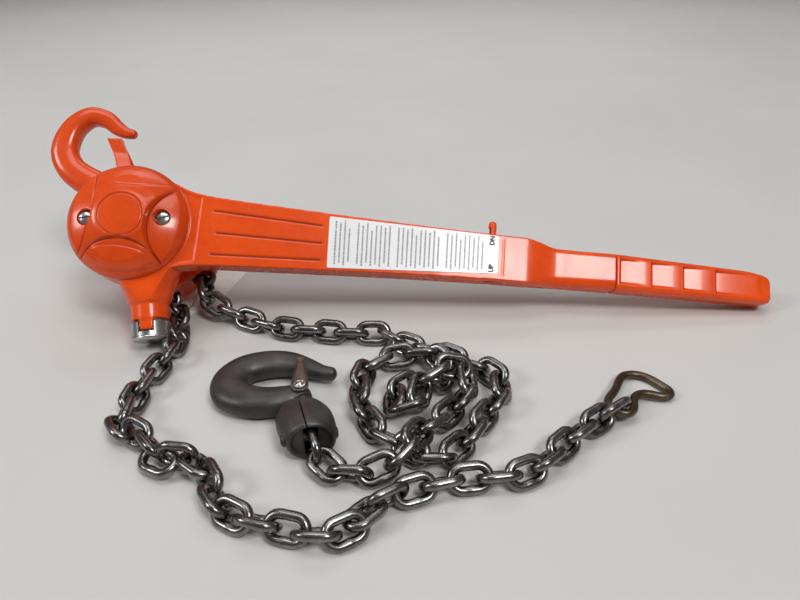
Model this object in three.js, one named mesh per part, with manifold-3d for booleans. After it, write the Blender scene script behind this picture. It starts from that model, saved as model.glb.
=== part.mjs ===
// Ratchet lever chain puller (come along winch), millimetres, +Z up.
// It is posed as it stands on a bench: it leans on the edge of its rear cover, its plunger cap and
// the end of its lever, and its chain lies on the bench in front of it.
import * as THREE from "three";
import { mergeVertices } from "three/addons/utils/BufferGeometryUtils.js";
import Module from "manifold-3d";
const wasm = await Module();
wasm.setup();

// ---- driving dimensions -------------------------------------------------------------------
// Pose of the tool: x of the tool frame runs along the lever, y across it, z out of its front face.
const YAW = 5.765, LEAN = 43.294, TILT = -9.427; // degrees
const TOOL_AT = [-230.8, -31.25, 94.5]; // main axis on the lever's front face
const BENCH = [-5.03, -522.38]; // from the chain's own survey frame to the part's frame, x and y

// Lever
const HEAD_R = 49.5, HEAD_Z = -32, HEAD_WALL = 5.5;
const ARM_DEPTH = 21, ARM_WALL = 4, FACE = 3.6;
const ARM_TOP = [[30, 39.5], [38.8, 35.9], [46, 33], [58, 30.6], [87, 28.4], [127, 26.6], [165, 25], [235, 22.6], [311, 20.6], [338, 20.2], [352, 18], [364, 15.6], [416, 14.6]];
const ARM_BOT = [[30, -39.5], [40, -36], [50, -33.2], [71, -30.6], [113, -28.4], [166, -25.8], [235, -22.8], [313, -20.4], [340, -20], [364, -19.2], [416, -18.4]];
const GRIP_X0 = 419.5, GRIP_X1 = 561, GRIP_TOP = 14.6, GRIP_BOT = -18.4, GRIP_FRONT = -1.6, GRIP_BACK = -24.6;
const COVER_TOP = 21.9, EMBLEM_R = 18.3;
const SCREW_AT = [30.7, 2.95], SCREW_HEAD_R = 6;
const LABEL = [[166, 21.8], [315.3, 18.8], [315.3, -14.7], [167.9, -23.4]];
// Lock plunger, in a boss under the head
const BOSS_AT = [9.2, 0, -17], BOSS_ANGLE = 11.6, BOSS_R = 15.5, BOSS_END = 81, CAP_R = 16.2, CAP_END = 97.4;
// Selector pin and rod
const PEG_X = 309.3, PEG_Z = -12, PEG_R = 3.6, PEG_TOP = 35.2, ROD_Y = 14, ROD_R = 2.4;
// Frame: u runs along the load line towards the chain's way out, w across it
const LOAD_ANGLE = -45, FRAME_R = 44, EXIT_U = 59, EXIT_W = 33.5, HOOK_U = -56, STRAND_W = 18.5;
const FRONT_PLATE = [-38.9, -34.5], REAR_PLATE = [-69.7, -65.3], MID_Z = -52.1;
const COVER_R = 43, COVER_BACK = -94, PAWL_W = 35.4;
// Chain
const WIRE = 6.35, LINK_L = 31.4, LINK_W = 21.5, LINK_FLAT_R = 18.4, LINK_UP_R = 21.1; // radii of the links' centres on the lift wheel

// Hang tag on the bench
const TAG_OUTLINE = [[-212, 507], [-197, 488.5], [-180.3, 501.5], [-167.5, 524], [-153, 575], [-186, 588], [-203, 548]], TAG_EYE = [-196, 500];

// ---- helpers ------------------------------------------------------------------------------
const rad = (d) => (d * Math.PI) / 180;
function solid(geo) {
  const g = geo.clone();
  for (const n of Object.keys(g.attributes)) if (n !== "position") g.deleteAttribute(n);
  const m = mergeVertices(g, 1e-4);
  const tri = new Uint32Array(m.index.array);
  const make = () => new wasm.Manifold(new wasm.Mesh({ numProp: 3, vertProperties: new Float32Array(m.attributes.position.array), triVerts: tri }));
  let s = make();
  if (s.volume() < 0) {
    for (let i = 0; i < tri.length; i += 3) [tri[i + 1], tri[i + 2]] = [tri[i + 2], tri[i + 1]];
    s = make();
  }
  return s;
}
function geometry(s) {
  const m = s.getMesh(), n = m.numProp, p = new Float32Array(m.numVert * 3);
  for (let i = 0; i < m.numVert; i++) p.set(m.vertProperties.subarray(i * n, i * n + 3), i * 3);
  const g = new THREE.BufferGeometry().setAttribute("position", new THREE.BufferAttribute(p, 3)).setIndex(new THREE.BufferAttribute(m.triVerts, 1)).toNonIndexed();
  g.computeVertexNormals();
  return g;
}
const join = (...s) => s.reduce((a, b) => a.add(b));
const cut = (a, ...s) => s.reduce((x, y) => x.subtract(y), a);
const shape = (pts) => new THREE.Shape(pts.map(([x, y]) => new THREE.Vector2(x, y)));
// a prism on an outline in x and y, from z0 to z1
const prism = (pts, z0, z1) => solid(new THREE.ExtrudeGeometry(shape(pts), { depth: z1 - z0, bevelEnabled: false }).translate(0, 0, z0));
const ring = (r, n = 28, x = 0, y = 0, a0 = 0) => Array.from({ length: n }, (_, i) => [x + r * Math.cos(a0 + (i * 2 * Math.PI) / n), y + r * Math.sin(a0 + (i * 2 * Math.PI) / n)]);
const disc = (r, z0, z1, x = 0, y = 0, n = 28) => prism(ring(r, n, x, y), z0, z1);
const box = (x0, x1, y0, y1, z0, z1) => solid(new THREE.BoxGeometry(x1 - x0, y1 - y0, z1 - z0).translate((x0 + x1) / 2, (y0 + y1) / 2, (z0 + z1) / 2));
// a body of revolution about z on a profile of [radius, z]
const turned = (pts, n = 36) => solid(new THREE.LatheGeometry(pts.map(([r, z]) => new THREE.Vector2(r, z)), n).rotateX(Math.PI / 2));
const tube = (r0, r1, z0, z1, n = 28) => cut(disc(r1, z0, z1, 0, 0, n), disc(r0, z0 - 1, z1 + 1, 0, 0, n));
// hull-like strip of round ended bars through [x, y, half width], from z0 to z1
function strip(pts, z0, z1, n = 12) {
  const bars = [];
  for (let i = 0; i + 1 < pts.length; i++) {
    const [ax, ay, ar] = pts[i], [bx, by, br] = pts[i + 1];
    const all = [...ring(ar, n, ax, ay), ...ring(br, n, bx, by)];
    bars.push(prism(convex(all), z0, z1));
  }
  return join(...bars);
}
function convex(pts) {
  const p = [...pts].sort((a, b) => a[0] - b[0] || a[1] - b[1]);
  const side = (o, a, b) => (a[0] - o[0]) * (b[1] - o[1]) - (a[1] - o[1]) * (b[0] - o[0]);
  const half = (q) => {
    const h = [];
    for (const v of q) {
      while (h.length > 1 && side(h[h.length - 2], h[h.length - 1], v) <= 1e-9) h.pop();
      h.push(v);
    }
    h.pop();
    return h;
  };
  return [...half(p), ...half(p.reverse())];
}
// moves a solid built along z so that its z axis lies along dir from point at
function placed(s, at, dir, turn = 0) {
  const q = new THREE.Quaternion().setFromUnitVectors(new THREE.Vector3(0, 0, 1), new THREE.Vector3(...dir).normalize());
  const m = new THREE.Matrix4().makeTranslation(...at).multiply(new THREE.Matrix4().makeRotationFromQuaternion(q)).multiply(new THREE.Matrix4().makeRotationZ(turn));
  return s.transform([...m.elements]);
}
const turnedBy = (s, deg, x = 0, y = 0) => {
  const m = new THREE.Matrix4().makeTranslation(x, y, 0).multiply(new THREE.Matrix4().makeRotationZ(rad(deg))).multiply(new THREE.Matrix4().makeTranslation(-x, -y, 0));
  return s.transform([...m.elements]);
};
// an open round bar along a curve
function bar(points, r, sides = 8, steps = 12) {
  const path = new THREE.CatmullRomCurve3(points.map((p) => new THREE.Vector3(...p)), false, "centripetal");
  return solid(new THREE.ExtrudeGeometry(shape(ring(r, sides)), { steps, bevelEnabled: false, extrudePath: path }));
}
// a closed round wire loop: a tube whose last ring meets its first
function loop(points, r, sides = 8) {
  const n = points.length, pos = [], idx = [];
  const P = points.map((p) => new THREE.Vector3(...p));
  const c = P.reduce((a, b) => a.clone().add(b), new THREE.Vector3()).divideScalar(n);
  const up = new THREE.Vector3().crossVectors(P[0].clone().sub(c), P[Math.floor(n / 4)].clone().sub(c)).normalize();
  for (let i = 0; i < n; i++) {
    const t = P[(i + 1) % n].clone().sub(P[(i + n - 1) % n]).normalize();
    const out = new THREE.Vector3().crossVectors(t, up).normalize();
    for (let k = 0; k < sides; k++) {
      const a = (k * 2 * Math.PI) / sides;
      const v = P[i].clone().addScaledVector(out, r * Math.cos(a)).addScaledVector(up, r * Math.sin(a));
      pos.push(v.x, v.y, v.z);
    }
  }
  for (let i = 0; i < n; i++) for (let k = 0; k < sides; k++) {
    const a = i * sides + k, b = i * sides + ((k + 1) % sides), c2 = ((i + 1) % n) * sides + k, d = ((i + 1) % n) * sides + ((k + 1) % sides);
    idx.push(a, c2, b, b, c2, d);
  }
  const g = new THREE.BufferGeometry().setAttribute("position", new THREE.BufferAttribute(new Float32Array(pos), 3)).setIndex(idx);
  return solid(g);
}
// a chain link: stadium loop, long way along x, flat in the x y plane
function link() {
  const h = (LINK_L - LINK_W) / 2, r = (LINK_W - WIRE) / 2, p = [];
  for (let i = 0; i <= 5; i++) p.push([h + r * Math.cos(rad(-90 + 36 * i)), r * Math.sin(rad(-90 + 36 * i)), 0]);
  for (let i = 0; i <= 5; i++) p.push([-h + r * Math.cos(rad(90 + 36 * i)), r * Math.sin(rad(90 + 36 * i)), 0]);
  return loop(p, WIRE / 2, 6);
}

const paint = { color: 0xdc4812, roughness: 0.32, metalness: 0 };
const looks = {
  orange: paint,
  zinc: { color: 0xb8babb, roughness: 0.3, metalness: 1 },
  chain: { color: 0x4a4a4e, roughness: 0.35, metalness: 1 },
  forged: { color: 0x46474a, roughness: 0.55, metalness: 0.7 },
  steel: { color: 0x8c8d90, roughness: 0.4, metalness: 1 },
  bronze: { color: 0x9a6b34, roughness: 0.4, metalness: 1 },
  lining: { color: 0x4b4038, roughness: 0.9, metalness: 0 },
  spring: { color: 0x6c6e72, roughness: 0.35, metalness: 1 },
  paper: { color: 0xe4e2dc, roughness: 0.85, metalness: 0 },
  label: { color: 0xe9e9ea, roughness: 0.4, metalness: 0 },
};
const materials = Object.fromEntries(Object.entries(looks).map(([k, v]) => [k, new THREE.MeshStandardMaterial({ ...v, flatShading: true })]));

const part = new THREE.Group();
const yaw = new THREE.Group(), lean = new THREE.Group(), tool = new THREE.Group(), frame = new THREE.Group(), bench = new THREE.Group();
yaw.position.set(...TOOL_AT);
yaw.rotation.z = rad(YAW);
lean.rotation.x = Math.PI / 2 - rad(LEAN);
tool.rotation.z = rad(TILT);
frame.rotation.z = rad(LOAD_ANGLE);
bench.position.set(BENCH[0], BENCH[1], 0);
part.add(yaw, bench);
yaw.add(lean);
lean.add(tool);
tool.add(frame);
function add(group, name, s, look) {
  const mesh = new THREE.Mesh(geometry(s), materials[look]);
  mesh.name = name;
  group.add(mesh);
}

// ---- lever --------------------------------------------------------------------------------
const bossDir = [Math.sin(rad(BOSS_ANGLE)), -Math.cos(rad(BOSS_ANGLE)), 0];
// a solid built along z from the boss axis' start; its local x points out of the lever's front
const onBoss = (s) => {
  const m = new THREE.Matrix4().makeBasis(new THREE.Vector3(0, 0, 1), new THREE.Vector3(-bossDir[1], bossDir[0], 0).multiplyScalar(-1), new THREE.Vector3(...bossDir));
  if (m.determinant() < 0) throw new Error("left handed");
  m.setPosition(...BOSS_AT);
  return s.transform([...m.elements]);
};
{
  const inset = (side, sign) => side.map(([x, y]) => [x, y - sign * ARM_WALL]);
  const outline = [...ARM_BOT, ...[...ARM_TOP].reverse()];
  const channel = [...inset(ARM_BOT, -1).filter(([x]) => x < 370), [398, -14.8], [398, 10.8], ...inset(ARM_TOP, 1).filter(([x]) => x < 370).reverse()];
  let s = join(
    disc(HEAD_R, HEAD_Z, 0, 0, 0, 40),
    prism(outline, -ARM_DEPTH, 0),
    box(412, 528, -9.5, 6.5, -18, -7),
    onBoss(turned([[0, 20], [30, 20], [26, 40], [19.5, 53], [16.6, 60], [BOSS_R, 66], [BOSS_R, BOSS_END], [0, BOSS_END]], 28)),
    onBoss(box(10.6, 14.6, -5.6, 5.6, BOSS_END - 4, 87.4)),
  );
  // nothing of the boss stands in front of the cover's seat or behind the head
  s = cut(s, box(-120, 60, -120, 60, 0, 40), box(-120, 60, -58, 60, -80, HEAD_Z));
  const inner = HEAD_R - HEAD_WALL;
  s = cut(s, disc(inner, HEAD_Z + 3.5, 5, 0, 0, 40), prism(channel, -ARM_DEPTH - 2, -FACE));
  const pillars = [1, -1].map((k) => disc(5.6, HEAD_Z + 1, -0.2, k * SCREW_AT[0], k * SCREW_AT[1], 16));
  // the channel's end wall stays on the head's ring
  s = join(s, cut(disc(HEAD_R, HEAD_Z, 0, 0, 0, 40), disc(inner, HEAD_Z - 1, 1, 0, 0, 40)), ...pillars, disc(4.6, HEAD_Z + 1, -25.5, 27.5, 25.5, 16));
  s = cut(
    s,
    disc(12.4, HEAD_Z - 1, HEAD_Z + 5),
    disc(3.3, HEAD_Z - 1, -20, 27.5, 25.5, 12),
    ...[1, -1].map((k) => disc(3.3, -20, 1, k * SCREW_AT[0], k * SCREW_AT[1], 12)),
    box(36, 56, ROD_Y - 3.4, ROD_Y + 3.4, -17, -8), // the rod's way into the head
    onBoss(disc(4.9, 18, 60, 0, 0, 16)),
    onBoss(disc(10.2, 54, 100, 0, 0, 20)),
    // the selector pin's way through both walls
    placed(disc(PEG_R + 0.35, -60, 60, 0, 0, 16), [PEG_X, 0, PEG_Z], [0, 1, 0]),
  );
  add(tool, "lever_casting", s, "orange");
}
{
  // hand grip: a sleeve with finger flats, over the casting's tang
  const sec = [[GRIP_BOT + 3, GRIP_BACK], [GRIP_TOP - 3, GRIP_BACK], [GRIP_TOP, GRIP_BACK + 3], [GRIP_TOP, GRIP_FRONT - 3], [GRIP_TOP - 3, GRIP_FRONT], [GRIP_BOT + 3, GRIP_FRONT], [GRIP_BOT, GRIP_FRONT - 3], [GRIP_BOT, GRIP_BACK + 3]];
  const m = new THREE.Matrix4().makeBasis(new THREE.Vector3(0, 1, 0), new THREE.Vector3(0, 0, 1), new THREE.Vector3(1, 0, 0));
  let s = prism(sec, GRIP_X0, GRIP_X1).transform([...m.elements]);
  const wedge = (x0, x1, d) => {
    const q = new THREE.Matrix4().makeBasis(new THREE.Vector3(1, 0, 0), new THREE.Vector3(0, 0, 1), new THREE.Vector3(0, -1, 0));
    return prism([[x0, GRIP_FRONT + 1], [x0, GRIP_FRONT - d], [x1, GRIP_FRONT], [x1, GRIP_FRONT + 1]], -40, 40).transform([...q.elements]);
  };
  s = cut(s, wedge(421.5, 447, 1.6), wedge(449.5, 474.5, 1.6), wedge(478.5, 503.5, 1.6), wedge(507.5, 549, 1.8));
  // rounded end
  s = cut(s, prism([[553, 16], [562, 16], [562, -20], [553, -20], [558.5, -15], [561, -8], [561, 4], [558.5, 11]], -30, 0));
  s = cut(s, box(410, 529, -9.9, 6.9, -18.4, -6.6));
  add(tool, "grip_sleeve", s, "orange");
}
{
  // front cover: a shallow dome with two screw seats
  let s = turned([[0, 0.3], [49.5, 0.3], [49.5, 1.5], [47.5, 5], [42, 10], [34, 14.6], [25, 19.4], [19.5, 21.3], [EMBLEM_R, COVER_TOP], [0, COVER_TOP]], 36);
  s = cut(s, turned([[0, -1], [40, -1], [37, 4], [22, 5], [20, 17.5], [0, 17.5]], 24));
  for (const k of [1, -1]) s = cut(s, disc(7.6, 8, 40, k * SCREW_AT[0], k * SCREW_AT[1], 20), disc(3.3, -1, 40, k * SCREW_AT[0], k * SCREW_AT[1], 12));
  add(tool, "front_cover", s, "orange");
  for (const [k, n] of [[1, "right"], [-1, "left"]]) {
    const x = k * SCREW_AT[0], y = k * SCREW_AT[1];
    let b = join(turnedAt([[0, 8.3], [SCREW_HEAD_R, 8.3], [SCREW_HEAD_R, 9.8], [4.6, 11.2], [0, 11.6]], x, y), disc(3, -18, 9, x, y, 12));
    b = cut(b, turnedBy(box(x - 7, x + 7, y - 0.8, y + 0.8, 10, 13), 25, x, y));
    add(tool, "cover_screw_" + n, b, "zinc");
  }
}
function turnedAt(pts, x, y, n = 20) {
  return turned(pts, n).translate([x, y, 0]);
}
add(tool, "label_plate", prism(LABEL, 0.3, 0.9), "label");
add(tool, "lever_bush", tube(7.35, 12.1, HEAD_Z + 0.2, HEAD_Z + 8, 24), "bronze");
add(tool, "pawl_pin", disc(3, -31, -12.5, 27.5, 25.5, 14), "steel");
// lock plunger, its spring and its pull cap
{
  const cap = cut(
    onBoss(turned([[0, 83.2], [CAP_R, 83.2], [CAP_R, 95.4], [CAP_R + 0.5, 96.2], [CAP_R - 0.4, CAP_END], [0, CAP_END]], 32)),
    onBoss(disc(13.6, 80, 93, 0, 0, 24)),
    onBoss(box(-20, 20, -6.4, 6.4, 80, 91.6)),
    onBoss(disc(3.35, 80, 99, 0, 0, 14)),
  );
  add(tool, "plunger_cap", cap, "zinc");
  const pin = onBoss(join(disc(4.5, 26.4, 56, 0, 0, 16), disc(9.4, 56, 58.5, 0, 0, 20), disc(3, 58, 96.6, 0, 0, 14)));
  add(tool, "lock_plunger", pin, "steel");
  const pts = [];
  for (let i = 0; i <= 32; i++) pts.push([7 * Math.cos((i * Math.PI) / 4), 7 * Math.sin((i * Math.PI) / 4), 60.2 + (i * 15.6) / 32]);
  add(tool, "plunger_spring", onBoss(bar(pts, 0.9, 5, 40)), "spring");
  add(tool, "plunger_retainer", onBoss(tube(3.4, 9.8, 77.2, 80.7, 20)), "zinc");
}
// selector: cross pin, rod and reversing pawl
{
  const peg = placed(cut(disc(PEG_R, -20.9, PEG_TOP, 0, 0, 20)), [PEG_X, 0, PEG_Z], [0, 1, 0]);
  add(tool, "selector_pin", cut(peg, box(PEG_X - 8, PEG_X - 0.8, ROD_Y - 3.2, ROD_Y + 15.4, PEG_Z - 3, PEG_Z + 3)), "orange");
  const m = placed(disc(ROD_R, 0, 272.6, 0, 0, 10), [35.1, ROD_Y, PEG_Z], [1, 0, 0]);
  add(tool, "selector_rod", m, "steel");
}
{
  // reversing pawl on its pin, two toes towards the drive gear, tail towards the rod
  const c = [27.5, 25.5], a = 42.8;
  let s = join(disc(6.4, -24, -13, c[0], c[1], 18));
  const toe = (k) => turnedBy(prism([[c[0] - 2, c[1] - 5.5], [c[0] - 2, c[1] + 5.5], [c[0] - 11.2, c[1] + 3.4], [c[0] - 12, c[1] + 0.4], [c[0] - 7, c[1] - 3.5]], -24, -13), a + k, c[0], c[1]);
  s = join(s, toe(0), prism([[c[0] + 0.5, c[1] - 5.5], [c[0] + 5.5, c[1] - 2.5], [34.8, ROD_Y + 3], [34.8, ROD_Y - 2], [31, ROD_Y - 2]], -16, -13));
  s = cut(s, disc(3.3, -30, 0, c[0], c[1], 14));
  add(tool, "drive_pawl", s, "steel");
}
// ---- drive line on the main axis ----------------------------------------------------------
const toothed = (n, r0, r1, a0, lean2 = 0.5) => {
  const p = [];
  for (let i = 0; i < n; i++) {
    const b = a0 + (i * 2 * Math.PI) / n, w = (2 * Math.PI) / n;
    p.push([r0 * Math.cos(b), r0 * Math.sin(b)], [r0 * Math.cos(b + w * (1 - lean2)), r0 * Math.sin(b + w * (1 - lean2))], [r1 * Math.cos(b + w * 0.75), r1 * Math.sin(b + w * 0.75)], [r1 * Math.cos(b + w * 0.95), r1 * Math.sin(b + w * 0.95)]);
  }
  return p;
};
const polar = (r, deg) => [r * Math.cos(rad(deg)), r * Math.sin(rad(deg))];
// ratchet: each tooth has a steep face at angle a, a short top and a ramp down
const ratchet = (n, r0, r1, a) => Array.from({ length: n }, (_, i) => [polar(r0, a + (i * 360) / n), polar(r1, a + 0.3 + (i * 360) / n), polar(r1, a + 6 + (i * 360) / n), polar(r0, a + 13 + (i * 360) / n), polar(r0, a + 21 + (i * 360) / n)]).flat();
add(tool, "drive_shaft", join(disc(7, -75, -22.8, 0, 0, 24), disc(5.6, -90.9, -8, 0, 0, 20)), "steel");
add(tool, "drive_gear", cut(prism(toothed(12, 17.5, 21.5, rad(30)), -22.4, -12), disc(5.9, -30, 0)), "steel");
add(tool, "shaft_nut", cut(prism(ring(9.5, 6), -11.7, -5.5), disc(5.9, -30, 0, 0, 0, 20)), "zinc");
add(tool, "brake_hub", cut(disc(27, -76.6, -75.3, 0, 0, 32), disc(5.9, -80, -60, 0, 0, 20)), "steel");
add(tool, "friction_disc_inner", cut(disc(26, -78.9, -76.9, 0, 0, 32), disc(9, -90, -60, 0, 0, 20)), "lining");
add(tool, "ratchet_disc", cut(prism(ratchet(12, 26.5, 30.5, 119.5 + LOAD_ANGLE), -83, -79.2), disc(9, -90, -60, 0, 0, 20)), "steel");
add(tool, "friction_disc_outer", cut(disc(26, -85.3, -83.3, 0, 0, 32), disc(9, -90, -60, 0, 0, 20)), "lining");
add(tool, "brake_nut", cut(join(disc(26, -87.4, -85.6, 0, 0, 32), prism(ring(11, 6), -90.6, -87)), disc(5.9, -99, -60, 0, 0, 20)), "steel");
{
  // lift wheel: a central groove for upright links, four pockets for flat ones
  let s = turned([[0, -64.7], [25.5, -64.7], [25.5, MID_Z - 3.9], [9.8, MID_Z - 3.9], [9.8, MID_Z + 3.9], [25.5, MID_Z + 3.9], [25.5, -39.6], [0, -39.6]], 32);
  for (const a of [0, 90, 180, 270]) s = cut(s, turnedBy(box(14.7, 40, -16.2, 16.2, MID_Z - 11.2, MID_Z + 11.2), a));
  s = cut(s, disc(7.3, -80, -20));
  s = turnedBy(s, LOAD_ANGLE);
  add(tool, "lift_wheel", s, "forged");
}
// ---- frame --------------------------------------------------------------------------------
const plateOutline = (z0, z1) =>
  join(disc(FRAME_R, z0, z1, 0, 0, 44), prism([[0, -EXIT_W + 1], [EXIT_U - 9, -EXIT_W], [EXIT_U, -EXIT_W + 9], [EXIT_U, EXIT_W - 5], [EXIT_U - 5, EXIT_W], [0, EXIT_W - 1]], z0, z1), strip([[-26, 0, 26], [HOOK_U, 0, 12.5]], z0, z1, 20));
{
  for (const [name, [z0, z1]] of [["frame_front_plate", FRONT_PLATE], ["frame_rear_plate", REAR_PLATE]]) {
    let s = plateOutline(z0, z1);
    s = cut(s, disc(10.9, z0 - 1, z1 + 1), disc(5.6, z0 - 1, z1 + 1, HOOK_U, 0, 16));
    if (name === "frame_rear_plate") s = cut(s, disc(3.3, z0 - 1, z1 + 1, 0, PAWL_W, 12));
    add(frame, name, s, "orange");
  }
  add(frame, "frame_bush_front", tube(7.35, 10.6, FRONT_PLATE[0] - 0.2, FRONT_PLATE[1] + 1, 24), "bronze");
  add(frame, "frame_bush_rear", tube(7.35, 10.6, REAR_PLATE[0] - 1, REAR_PLATE[1] + 0.2, 24), "bronze");
  let g = prism([[30, -EXIT_W + 1.5], [EXIT_U - 9.5, -EXIT_W + 0.6], [EXIT_U - 0.6, -EXIT_W + 9.5], [EXIT_U - 0.6, EXIT_W - 5.5], [EXIT_U - 5.5, EXIT_W - 0.6], [30, EXIT_W - 1.5]], REAR_PLATE[1] + 0.3, FRONT_PLATE[0] - 0.3);
  for (const k of [1, -1]) g = cut(g, placed(disc(11.6, 20, 70, 0, 0, 20), [0, k * STRAND_W, MID_Z], [1, 0, 0]));
  add(frame, "chain_guide", g, "orange");
  add(frame, "hook_pin", join(disc(5.3, -70.6, -33.9, HOOK_U, 0, 16)), "zinc");
  // brake cover: a cup on the rear plate
  let c = turned([[0, COVER_BACK], [COVER_R - 2, COVER_BACK], [COVER_R, COVER_BACK + 2], [COVER_R, REAR_PLATE[0] - 0.3], [0, REAR_PLATE[0] - 0.3]], 36);
  c = cut(c, turned([[0, COVER_BACK + 2.6], [COVER_R - 3.6, COVER_BACK + 2.6], [COVER_R - 2.6, COVER_BACK + 6], [COVER_R - 2.6, -60], [0, -60]], 28));
  c = join(c, ...[30, 150, 270].map((a) => disc(4.6, COVER_BACK + 1, REAR_PLATE[0] - 0.3, 36.2 * Math.cos(rad(a + 30)), 36.2 * Math.sin(rad(a + 30)), 14)));
  for (const a of [30, 150, 270]) c = cut(c, disc(2.3, COVER_BACK - 1, -60, 36.2 * Math.cos(rad(a + 30)), 36.2 * Math.sin(rad(a + 30)), 12));
  add(frame, "brake_cover", c, "orange");
  let i = 1;
  for (const a of [30, 150, 270]) {
    const x = 36.2 * Math.cos(rad(a + 30)), y = 36.2 * Math.sin(rad(a + 30));
    add(frame, "brake_cover_screw_" + i++, join(turnedAt([[0, COVER_BACK - 2.2], [3, COVER_BACK - 2], [3.9, COVER_BACK - 0.3], [0, COVER_BACK - 0.3]], x, y, 14), disc(2, COVER_BACK - 1, -71, x, y, 10)), "zinc");
  }
  // holding pawl on its stud, nose in the ratchet disc's teeth
  const P = [0, PAWL_W];
  add(frame, "holding_pawl_stud", disc(3, -84, -64.9, P[0], P[1], 12), "steel");
  const nose = [[0, 31.3], polar(31.2, 97), polar(31.2, 104), polar(31.1, 110), polar(27.2, 113.5), polar(27, 117.4), polar(31.2, 117.2), polar(33.4, 116), [-9.5, 35], [-2, 39.1], [0, 39.4]];
  let h = join(disc(4.3, -83, -79.2, P[0], P[1], 18), prism(nose, -83, -79.2));
  h = cut(h, disc(3.25, -90, -60, P[0], P[1], 14));
  const coil = [[P[0] - 10, P[1] - 2.4, -78.3], [P[0] - 4.2, P[1], -78.1]];
  for (let k = 0; k <= 32; k++) coil.push([P[0] - 4.2 * Math.cos((k * Math.PI) / 4), P[1] + 4.2 * Math.sin((k * Math.PI) / 4), -77.9 + k * 0.19]);
  add(frame, "holding_pawl_spring", bar(coil, 0.55, 5, 44), "spring");
  add(frame, "holding_pawl", h, "steel");
}
// links held by the lift wheel, on the side away from the chain's way out
{
  for (const [i, a] of [90, 135, 180, 225, 270].entries()) {
    const m = new THREE.Matrix4().makeRotationZ(rad(a)).multiply(new THREE.Matrix4().makeTranslation(i % 2 ? LINK_UP_R : LINK_FLAT_R, 0, MID_Z)).multiply(new THREE.Matrix4().makeRotationZ(Math.PI / 2));
    if (i % 2 === 0) m.multiply(new THREE.Matrix4().makeRotationX(Math.PI / 2));
    add(frame, "chain_link_" + (i + 1), link().transform([...m.elements]), "chain");
  }
}
// ---- upper hook ---------------------------------------------------------------------------
{
  const E = [-39.6, 39.6];
  const bowl = [[E[0], E[1], 12], [-52, 47, 13.5], [-66, 51.5, 13.5], [-79, 60.5, 12.8], [-87, 74.5, 12.2], [-86, 91, 11.2], [-79.5, 104.5, 9.8], [-68, 113.3, 8.8], [-54.5, 111.8, 8.2], [-43.5, 104.4, 7.2], [-34, 100.4, 5.2], [-25, 100.5, 4]];
  const slim = bowl.map(([x, y, r]) => [x, y, r * 0.72]);
  let s = join(strip(bowl, MID_Z - 5.5, MID_Z + 5.5, 12), strip(slim, MID_Z - 9.5, MID_Z + 9.5, 12), disc(12, MID_Z - 10, MID_Z + 10, ...E, 16));
  s = join(s, strip([[E[0] + 2, E[1] + 6, 8], [-29.5, 57, 6.5]], MID_Z - 5.2, MID_Z + 5.2, 14));
  s = cut(s, disc(5.65, -90, -10, ...E, 16), disc(2.4, -90, -10, -29.5, 57, 12));
  add(tool, "upper_hook", s, "orange");
  add(tool, "upper_latch_pin", disc(2.1, MID_Z - 9.6, MID_Z + 9.6, -29.5, 57, 12), "zinc");
  // latch: a folded plate, two cheeks over the lug and a web that closes the throat
  const L = [[-36.5, 60.5], [-50.3, 92], [-36.8, 93], [-22.6, 60.5]];
  let t = join(prism(L, MID_Z - 8.4, MID_Z + 8.4), strip([[-29.5, 57, 6.6], [-29.5, 62, 6.8]], MID_Z - 8.4, MID_Z + 8.4, 14));
  t = cut(t, cut(prism([[-40.5, 50], [-44.6, 79], [-31, 79], [-17, 66], [-17, 50]], MID_Z - 6, MID_Z + 6)), disc(2.4, -90, -10, -29.5, 57, 12));
  add(tool, "upper_latch", t, "orange");
}
// ---- chain on the bench -------------------------------------------------------------------
const world = (p) => {
  const v = new THREE.Vector3(...p).applyMatrix4(toBench);
  return [v.x, v.y, v.z];
};
part.updateMatrixWorld(true);
const toBench = new THREE.Matrix4().copy(bench.matrixWorld).invert().multiply(frame.matrixWorld);
const R = LINK_W / 2;
const LOAD = [world([25.4, STRAND_W, MID_Z]), world([42, STRAND_W, MID_Z]), world([60, STRAND_W, MID_Z]), [-165, 497.5, 19], [-148.5, 486.5, 13], [-125, 469.5, 11.1], [-108, 459, 11.1], [-84, 451.5, 11.1], [-66, 450, 11.1], [-47, 446.1, 11.1], [-29, 445, 11.1], [-10, 443.5, 11.1]];
const TAIL = [world([25.4, -STRAND_W, MID_Z]), world([42, -STRAND_W, MID_Z]), world([60, -STRAND_W, MID_Z]), [-194, 474, 12], [-182.5, 452, 11.1], [-180.5, 428, 11.1], [-190, 407, 11.1], [-198, 382, 11.1], [-200.5, 354, 11.1], [-196, 332, 11.1], [-177.3, 317, 11.1], [-156, 306, 11.1], [-137.4, 297.5, 11.1], [-121.5, 283, 11.1], [-107, 265, 11.1], [-87.4, 253.5, 11.1], [-68.9, 248, 11.1], [-48, 244, 11.1], [-30.9, 249, 11.1], [-15, 263.5, 11.1], [5, 273, 11.1], [24, 280, 11.1], [43.5, 285, 11.1], [63.9, 286, 11.1], [81.4, 289, 11.1], [96.8, 299.6, 11.1], [112, 314, 11.1], [129.6, 328, 11.1], [143.5, 340.5, 11.1]];
add(bench, "load_strand", bar(LOAD, R, 8, 22), "chain");
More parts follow.
